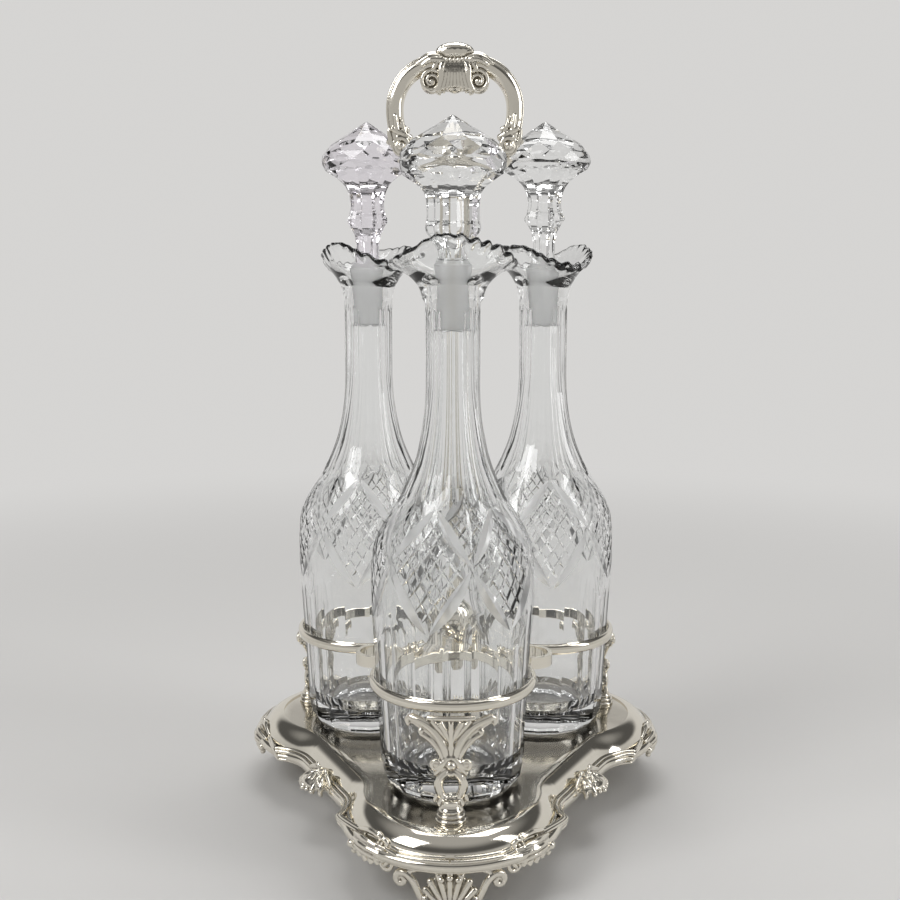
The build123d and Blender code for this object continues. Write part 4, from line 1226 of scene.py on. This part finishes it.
class DECANTER_OT_brackets(bpy.types.Operator):
    """Models the three scrolled brackets under the rings"""

    bl_idname = "decanter_stand.brackets"
    bl_label = "Brackets"

    def execute(self, context):
        fit_around(self.model(), LOBES, "scroll_bracket", "bracket")
        return {"FINISHED"}

    def model(self):
        """A forked scroll on a turned foot, drawn flat and bent under its ring."""
        half = [
            stroke(
                [(1.6, 0.6, 26), (2.4, 0.5, 33), (4.4, 0.4, 39.4), (8.4, 0.2, 45.4), (14, 0, 49.2),
                 (21.2, -0.1, 50.6)],
                2.0, 2.1, 0.5,
            ),
            stroke(
                [(3.6, 0.6, 30), (5.0, 0.6, 37), (8.2, 0.5, 42.4), (12.4, 0.3, 46.2), (18, 0.1, 48.2),
                 (22.0, 0, 48.8)],
                1.3, 1.2, 0.4,
            ),
            stroke(
                [(1.2, 2.0, 28), (2.8, 2.2, 35), (5.6, 2.1, 41.0), (10, 1.8, 46.0), (16, 1.4, 49.0),
                 (21.4, 1.0, 50.0)],
                0.7, 0.6, 0.2,
            ),
            stroke(
                [(3.6, 1.4, 29), (5.4, 1.6, 36), (8.6, 1.5, 41.6), (13, 1.2, 45.4), (18.4, 0.9, 47.4)],
                0.55, 0.5, 0.15,
            ),
            stroke(
                [(2.6, 0.8, 28), (5.2, 1.0, 34.4), (8.8, 1.2, 39.6), (12.6, 1.2, 42.6),
                 (15.6, 1.1, 43.2), (14.8, 1.2, 45.2)],
                1.5, 1.0, 0.4,
            ),
            stroke(
                [(20.4, 0.4, 51.6), (22.6, 0.5, 50.2), (22.8, 0.5, 47.8), (21.2, 0.6, 46.8)],
                1.2, 1.3, 0.4,
            ),
            stroke([(0.6, 1.2, 40), (2.4, 1.8, 45), (5.2, 1.7, 50.2)], 1.0, 1.4, 0.3),
            stroke([(1.6, 1.0, 41), (4.6, 1.4, 45.4), (9.4, 1.3, 50.6)], 1.0, 1.3, 0.3),
            stroke(
                [(0.4, 1.4, 32), (3.8, 2, 29.4), (6.6, 2, 26.2)]
                + spiral((7.0, 28.2), 2.5, 0.5, -60, 1.15, 1.9),
                1.6, 0.9,
            ),
            stroke([(-1.4, 1.8, 32), (-4.4, 2.4, 27.4), (-6.2, 2.2, 24.2)], 1.4, 1.2, 0.2),
            stroke([(2.4, 1.4, 26.6), (5.4, 1.8, 25.0), (7.8, 1.8, 23.0)], 1.6, 1.3, 0.3),
            stroke(
                [(0.4, 1.4, 25.4), (4.0, 1.6, 23.4), (6.0, 1.7, 18.2), (5.4, 1.8, 12.8), (2.4, 2.0, 9.6)],
                2.0, 2.0, 0.3,
            ),
            stroke(
                [(0.8, 3.2, 24.8), (4.0, 3.4, 22.4), (5.6, 3.4, 18.2), (5.0, 3.4, 13.2), (2.8, 3.4, 10.8)],
                0.7, 0.6, 0.15,
            ),
            stroke([(6.4, 1.6, 20.4), (8.0, 1.8, 17.8), (7.2, 1.8, 14.6)], 0.9, 0.8, 0.3),
            stroke([(1.2, 2.8, 12.2), (2.2, 3.4, 10.0), (2.8, 3.7, 7.0)], 1.0, 1.3, 0.2),
            stroke([(3.4, 2.6, 12.6), (4.8, 3.0, 10.0), (5.6, 3.0, 7.2)], 1.0, 1.2, 0.2),
            stroke([(5.6, 2.0, 13.8), (7.3, 2.2, 11.2), (7.8, 2.2, 8.8)], 0.9, 1.1, 0.2),
        ]
        strokes = half + mirrored(half)
        strokes.append(stroke([(0, 0.8, 30), (0, 1.4, 40), (0, 1.8, 50.2)], 1.5, 1.3, 0.2))
        strokes.append(stroke([(-12, 0.6, 51.6), (0, 1.2, 52.0), (12, 0.6, 51.6)], 1.3, 1.3, 0.2))
        strokes.append(stroke([(0, 2.8, 12.2), (0, 3.4, 9.8), (0, 3.8, 6.8)], 1.0, 1.3, 0.2))
        beads = [bead((0, 2.6, 28.0), 2.4), bead((0, 2.6, 23.8), 1.8)]
        for side in (-1, 1):
            beads.append(bead((side * 15.0, 1.2, 44.6), 1.6))
            beads.append(bead((side * 7.0, 2.0, 28.2), 1.6))
        scrolls = join("bracket", [draw_strokes("bracket_strokes", strokes), *beads])
        for vertex in scrolls.data.vertices:
            vertex.co.z = min(vertex.co.z, BRACKET_TOP * MM) + TRAY_FLOOR
        foot = turn_profile(
            "bracket_foot",
            [(0, 0), (7.4, 0), (7.4, 1.1), (7.0, 1.6), (6.1, 1.9), (6.5, 2.5), (6.9, 3.2), (6.6, 3.9),
             (5.7, 4.3), (5.9, 4.9), (6.0, 5.5), (5.6, 6.3), (5.0, 7.0), (4.4, 8.4), (4.2, 10.5),
             (0, 11)], 64,
        )
        foot.data.transform(Matrix.Translation((0, 2.9 * MM, TRAY_FLOOR)))
        bracket = join("bracket", [scrolls, foot])
        fuse(bracket, BRACKET_GRAIN)
        for vertex in bracket.data.vertices:
            vertex.co.z = max(vertex.co.z, TRAY_FLOOR)
        wrap(bracket, BRACKET_CURVE, AXIS + Vector((SPREAD, 0, 0)), 0)
        return bracket


class DECANTER_OT_handle(bpy.types.Operator):
    """Models the scrolled handle: its two bows, its leafy crest and its yoke"""

    bl_idname = "decanter_stand.handle"
    bl_label = "Handle"

    def execute(self, context):
        for side, sign in (("right", 1), ("left", -1)):
            bow = self.bow(f"handle_bow_{side}", sign)
            fit_cast(bow, f"scrolled_bow_{side}", f"handle_bow_{side}")
        fit_cast(self.crest(), "leafy_crest", "handle_crest")
        yoke = merged_copy("handle_yoke")
        fuse(yoke, YOKE_GRAIN, 1)
        fit_cast(yoke, "cast_yoke", "handle_yoke")
        return {"FINISHED"}

    def place_strokes(self, strokes, beads, sign, name):
        """Strokes and beads on the front and back faces of the handle, in place over the tray."""
        both = []
        for path, radii in strokes:
            both.append(([(sign * x, y, z) for x, y, z in path], radii))
            both.append(([(sign * x, -y, z) for x, y, z in path], radii))
        drawing = draw_strokes(name, both)
        balls = []
        for (x, y, z), size in beads:
            balls.append(bead((sign * x, y, z), size))
            if y:
                balls.append(bead((sign * x, -y, z), size))
        drawing = join(name, [drawing, *balls])
        drawing.data.transform(Matrix.Translation((AXIS.x, AXIS.y, TRAY_FLOOR)))
        return drawing

    def bow(self, node, sign):
        """One side of the loop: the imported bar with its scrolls, leaves and ridge fused to it."""
        strokes = [
            stroke(spiral((12.8, 376.2), 6.2, 0.8, 130, -2.0, 4.5, 34), 1.15, 0.7),
            stroke(spiral((29.6, 341.8), 4.7, 1.4, 60, 1.3, 3.7, 20), 1.7, 1.0),
            stroke([(25.6, 2.4, 350.5), (30, 4.4, 352.6), (35.6, 3.2, 356.4)], 1.5, 1.0, 0.4),
            stroke([(24.2, 2.0, 346.4), (28.5, 4.8, 348.2), (35.0, 3.6, 351.4)], 1.7, 1.4, 0.4),
            stroke([(34.4, 2, 342), (36.4, 2.8, 346.4), (36.4, 2.6, 351)], 1.5, 1.0, 0.3),
            stroke([(31, 3.4, 347), (32.0, 4.9, 352), (33.0, 4.6, 358.4)], 1.5, 0.7, 0.3),
            stroke([(27, 3.4, 347), (28.4, 4.7, 352), (29.6, 4.2, 357.0)], 1.3, 0.6, 0.3),
        ]
        ridge = []
        away, level = 2.6, 362
        for first, count, start, sweep, centre, radius in (
            (0, 8, -16, 16, -16.8, 54.1), (1, 14, 0, 84, 9, 28.3),
        ):
            for step in range(first, count):
                turn = radians(start + sweep * step / (count - 1))
                ridge.append((centre + radius * cos(turn), away, level + radius * sin(turn)))
        strokes.append(stroke(ridge, 0.75, 0.75))
        beads = [((29.6, 4.0, 341.8), 2.5), ((12.8, 4.5, 376.2), 1.2), ((36.4, 0, 344.6), 1.9)]
        extras = self.place_strokes(strokes, beads, sign, "bow_strokes")
        bow = join("bow", [merged_copy(node), extras])
        fuse(bow, CAST_GRAIN)
        return bow

    def crest(self):
        """The leafy crest over the grip, with its oval boss and pearls."""
        half = [
            stroke(
                [(7, 3.0, 388.4), (11, 4.2, 389.2), (15.5, 4.6, 388.4), (21.2, 3.9, 385.0)],
                2.2, 1.1, 0.4,
            ),
            stroke(
                [(5, 3.4, 386.6), (10, 5.2, 387.6), (14.5, 5.4, 386.8), (18.6, 4.8, 384.0)],
                2.2, 1.0, 0.3,
            ),
            stroke(
                [(8, 1.6, 390.2), (12, 2.6, 390.8), (16.0, 2.8, 389.8), (20.0, 2.2, 387.4)],
                1.8, 0.9, 0.3,
            ),
            stroke(
                [(4.6, 3.6, 388), (7.6, 5.0, 384.4), (7.4, 5.2, 379.4), (7.6, 5.0, 375), (10.2, 4.4, 371.2)],
                1.7, 1.5, 0.4,
            ),
            stroke([(8.6, 3.6, 387), (11.4, 5.0, 384.4), (11.8, 5.0, 382.0)], 1.6, 1.2, 0.3),
        ]
        strokes = half + mirrored(half)
        for fold in range(-4, 5):
            strokes.append(
                stroke(
                    [(fold * 1.35, 4.4, 387.0), (fold * 1.55, 5.3, 381.0), (fold * 1.75, 5.3, 375.8),
                     (fold * 2.35, 4.6, 373.2 - 0.16 * fold * fold)], 1.1, 1.5, 0.2,
                )
            )
        for ray in range(-4, 5):
            turn = radians(90 - ray * 21)
            strokes.append(
                stroke(
                    [(2.6 * cos(turn), 5.4, 390.2 + 0.8 * sin(turn)),
                     (6.4 * cos(turn), 5.0, 390.8 + 3.0 * sin(turn)),
                     (9.6 * cos(turn), 3.4, 392.0 + 4.2 * sin(turn))], 0.5, 0.9,
                )
            )
        beads = []
        for pearl in range(-4, 5):
            beads.append(((pearl * 2.2, 5.4 - abs(pearl) * 0.16, 387.2 + 0.1 * pearl * pearl), 1.15))
        drawing = self.place_strokes(strokes, beads, 1, "crest_strokes")
        dome = bead((0, 0, 392.2), 10.0, (1.08, 0.66, 0.54))
        body = bead((0, 0, 379.6), 9.4, (0.78, 0.5, 1.0))
        for part in (dome, body):
            part.data.transform(Matrix.Translation((AXIS.x, AXIS.y, TRAY_FLOOR)))
        crest = join("crest", [drawing, dome, body])
        fuse(crest, CAST_GRAIN)
        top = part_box("handle_crest")[1].z
        for vertex in crest.data.vertices:
            vertex.co.z = min(vertex.co.z, top)
        return crest


class DECANTER_OT_rings(bpy.types.Operator):
    """Models the half-round rings that hold the decanters"""

    bl_idname = "decanter_stand.rings"
    bl_label = "Rings"

    def execute(self, context):
        silver = silver_finish(context.scene.stand_silver)
        low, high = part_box("ring_front")
        bottom, top = low.z / MM, high.z / MM
        outside = (high.x - low.x) / 2 / MM
        band, bulge, step_in = 3.0, 1.7, 0.35
        inside = outside - band
        middle = (bottom + top) / 2
        half = (top - bottom) / 2
        profile = [(inside + 0.4, bottom + 0.1), (inside, bottom + 0.5), (inside, top - 0.5),
                   (inside + 0.4, top - 0.1), (inside + 0.9, top), (inside + 1.2, top - step_in)]
        for step in range(13):
            turn = pi / 2 - pi * step / 12
            profile.append((outside - bulge + bulge * cos(turn), middle + (half - step_in) * sin(turn)))
        profile += [(inside + 1.2, bottom + step_in), (inside + 0.9, bottom), (inside + 0.4, bottom + 0.1)]
        ring = turn_profile("ring", profile, 144)
        smooth(ring, 35)
        for name in LOBES:
            copy = own_copy(ring)
            copy.data.transform(Matrix.Translation(lobe_point(name, SPREAD)))
            fit_piece(copy, f"rounded_ring_{name}", "stand", "silver_plate", silver, f"ring_{name}")
        discard(ring)
        return {"FINISHED"}


class DECANTER_OT_metalwork(bpy.types.Operator):
    """Gives the plain silver pieces their polished finish"""

    bl_idname = "decanter_stand.metalwork"
    bl_label = "Plain metalwork"

    def execute(self, context):
        silver = silver_finish(context.scene.stand_silver)
        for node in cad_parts.values():
            if not node.hide_render:
                node.data.materials.clear()
                node.data.materials.append(silver)
        return {"FINISHED"}


# The studio: each lamp's place, size and power, where the floor fades, and the camera
LAMPS = {
    "key": ((-1.0, -0.7, 1.3), (0.7, 0.9), 11.0),
    "fill": ((1.1, -0.35, 0.8), (0.3, 1.2), 5.0),
    "top": ((0.1, 0.45, 1.6), (1.2, 0.7), 9.0),
}
LAMP_AIM = Vector((0, 0, 0.18))
FLOOR_REACH = 9.0
FADE_START, FADE_END = 0.28, 1.3
CAMERA_PLACE = (0.01044, -0.61189, 0.30222)
CAMERA_DOWN, CAMERA_TURN = 8.19, 1.2
CAMERA_LENS, CAMERA_SENSOR = 44.0, 36


class DECANTER_OT_stage(bpy.types.Operator):
    """Sets up the floor, backdrop, lights and camera"""

    bl_idname = "decanter_stand.stage"
    bl_label = "Studio stage"

    def execute(self, context):
        settings = context.scene.stand_stage
        self.sweep(context, settings)
        for name, (place, size, power) in LAMPS.items():
            self.lamp(name, place, size, power * settings.light_level)
        self.surroundings(settings)
        self.viewpoint(context)
        context.scene.view_settings.view_transform = "Standard"
        return {"FINISHED"}

    def sweep(self, context, settings):
        """A floor that takes the object's shadow and fades into the backdrop's colour far away."""
        start_clean()
        bpy.ops.mesh.primitive_circle_add(
            vertices=64, radius=FLOOR_REACH, fill_type="NGON", location=(0, 0, 0)
        )
        floor = context.object
        floor.name = "studio_floor"
        material, tree, shader = new_material(
            "pale_floor", {"Base Color": (*settings.floor_colour, 1), "Roughness": 0.85}
        )
        link = tree.links.new
        glow = add_node(tree, "ShaderNodeEmission", {"Color": (*settings.floor_colour, 1)})
        place = add_node(tree, "ShaderNodeTexCoord")
        reach = add_node(tree, "ShaderNodeVectorMath", operation="LENGTH")
        link(place.outputs["Object"], reach.inputs[0])
        far = self.ramp(tree, reach.outputs["Value"], FADE_START, FADE_END)
        away = add_node(tree, "ShaderNodeVectorMath", operation="NORMALIZE")
        link(place.outputs["Object"], away.inputs[0])
        self.backdrop_level(tree, away.outputs["Vector"], glow.inputs["Strength"])
        blend = add_node(tree, "ShaderNodeMixShader")
        link(far, blend.inputs["Fac"])
        link(shader.outputs["BSDF"], blend.inputs[1])
        link(glow.outputs["Emission"], blend.inputs[2])
        link(blend.outputs["Shader"], tree.nodes["Material Output"].inputs["Surface"])
        floor.data.materials.append(material)
        floor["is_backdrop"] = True

    def lamp(self, name, place, size, power):
        """A soft rectangular lamp that looks at the middle of the stand."""
        start_clean()
        bpy.ops.object.light_add(type="AREA", location=place)
        lamp = bpy.context.object
        lamp.name = f"studio_{name}"
        lamp.data.shape = "RECTANGLE"
        lamp.data.size, lamp.data.size_y = size
        lamp.data.energy = power
        aim = LAMP_AIM - Vector(place)
        lamp.rotation_euler = aim.to_track_quat("-Z", "Y").to_euler()

    def ramp(self, tree, value, start, end, low=0.0, high=1.0):
        """A smooth step from low to high as the value goes from start to end."""
        step = add_node(
            tree, "ShaderNodeMapRange",
            {"From Min": start, "From Max": end, "To Min": low, "To Max": high},
            interpolation_type="SMOOTHSTEP",
        )
        tree.links.new(value, step.inputs["Value"])
        return step.outputs["Result"]

    def backdrop_level(self, tree, direction, target):
        """The backdrop is brightest behind the stand and softer round to the front."""
        split = add_node(tree, "ShaderNodeSeparateXYZ")
        tree.links.new(direction, split.inputs["Vector"])
        tree.links.new(self.ramp(tree, split.outputs["Y"], -0.5, 0.7, 0.72), target)
        return split

    def surroundings(self, settings):
        """A room with a pale backdrop all round, a dim upper wall and a lighter ceiling."""
        world = bpy.data.worlds.new("studio_room")
        bpy.context.scene.world = world
        world.use_nodes = True
        tree = world.node_tree
        background = tree.nodes["Background"]
        background.inputs["Color"].default_value = (*settings.floor_colour, 1)
        place = add_node(tree, "ShaderNodeTexCoord")
        blend = add_node(tree, "ShaderNodeMix")
        split = self.backdrop_level(tree, place.outputs["Generated"], blend.inputs["A"])
        ceiling = self.ramp(tree, split.outputs["Z"], 0.62, 0.92, 0.14, 0.6)
        wall = self.ramp(tree, split.outputs["Z"], 0.36, 0.5)
        tree.links.new(ceiling, blend.inputs["B"])
        tree.links.new(wall, blend.inputs["Factor"])
        tree.links.new(blend.outputs["Result"], background.inputs["Strength"])

    def viewpoint(self, context):
        """A camera in front, a little above the rings."""
        start_clean()
        bpy.ops.object.camera_add(
            location=CAMERA_PLACE, rotation=(radians(90 - CAMERA_DOWN), 0, radians(CAMERA_TURN))
        )
        camera = context.object
        camera.name = "studio_camera"
        camera.data.sensor_width = CAMERA_SENSOR
        camera.data.lens = CAMERA_LENS
        camera.data.clip_start = 0.01
        context.scene.camera = camera


class DECANTER_PT_panel(bpy.types.Panel):
    """The stand's pieces and settings"""

    bl_label = "Decanter Stand"
    bl_idname = "DECANTER_PT_panel"
    bl_space_type = "VIEW_3D"
    bl_region_type = "UI"
    bl_category = "Decanter Stand"

    def draw(self, context):
        layout = self.layout
        for settings in (context.scene.stand_silver, context.scene.stand_glass, context.scene.stand_stage):
            box = layout.box()
            for label in settings.bl_rna.properties.keys():
                if label not in ("rna_type", "name"):
                    box.prop(settings, label)
        for operator in OPERATORS:
            layout.operator(operator.bl_idname)


OPERATORS = (
    DECANTER_OT_bottles,
    DECANTER_OT_stoppers,
    DECANTER_OT_feet,
    DECANTER_OT_rim_ornament,
    DECANTER_OT_brackets,
    DECANTER_OT_handle,
    DECANTER_OT_rings,
    DECANTER_OT_metalwork,
    DECANTER_OT_stage,
)
CLASSES = (SilverSettings, GlassSettings, StageSettings, *OPERATORS, DECANTER_PT_panel)


def register():
    for each in CLASSES:
        bpy.utils.register_class(each)
    bpy.types.Scene.stand_silver = bpy.props.PointerProperty(type=SilverSettings)
    bpy.types.Scene.stand_glass = bpy.props.PointerProperty(type=GlassSettings)
    bpy.types.Scene.stand_stage = bpy.props.PointerProperty(type=StageSettings)


def unregister():
    del bpy.types.Scene.stand_silver
    del bpy.types.Scene.stand_glass
    del bpy.types.Scene.stand_stage
    for each in reversed(CLASSES):
        bpy.utils.unregister_class(each)


def corners(bounds):
    """A box as plain lists of numbers."""
    return [[float(value) for value in corner] for corner in bounds]


def main():
    cad_box = corners(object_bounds())
    register()
    bpy.ops.decanter_stand.bottles()
    bpy.ops.decanter_stand.stoppers()
    bpy.ops.decanter_stand.feet()
    bpy.ops.decanter_stand.rim_ornament()
    bpy.ops.decanter_stand.brackets()
    bpy.ops.decanter_stand.handle()
    bpy.ops.decanter_stand.rings()
    bpy.ops.decanter_stand.metalwork()
    bpy.ops.decanter_stand.stage()
    {"cad": cad_box, "visual": corners(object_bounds())}


if __name__ == "__main__":
    main()
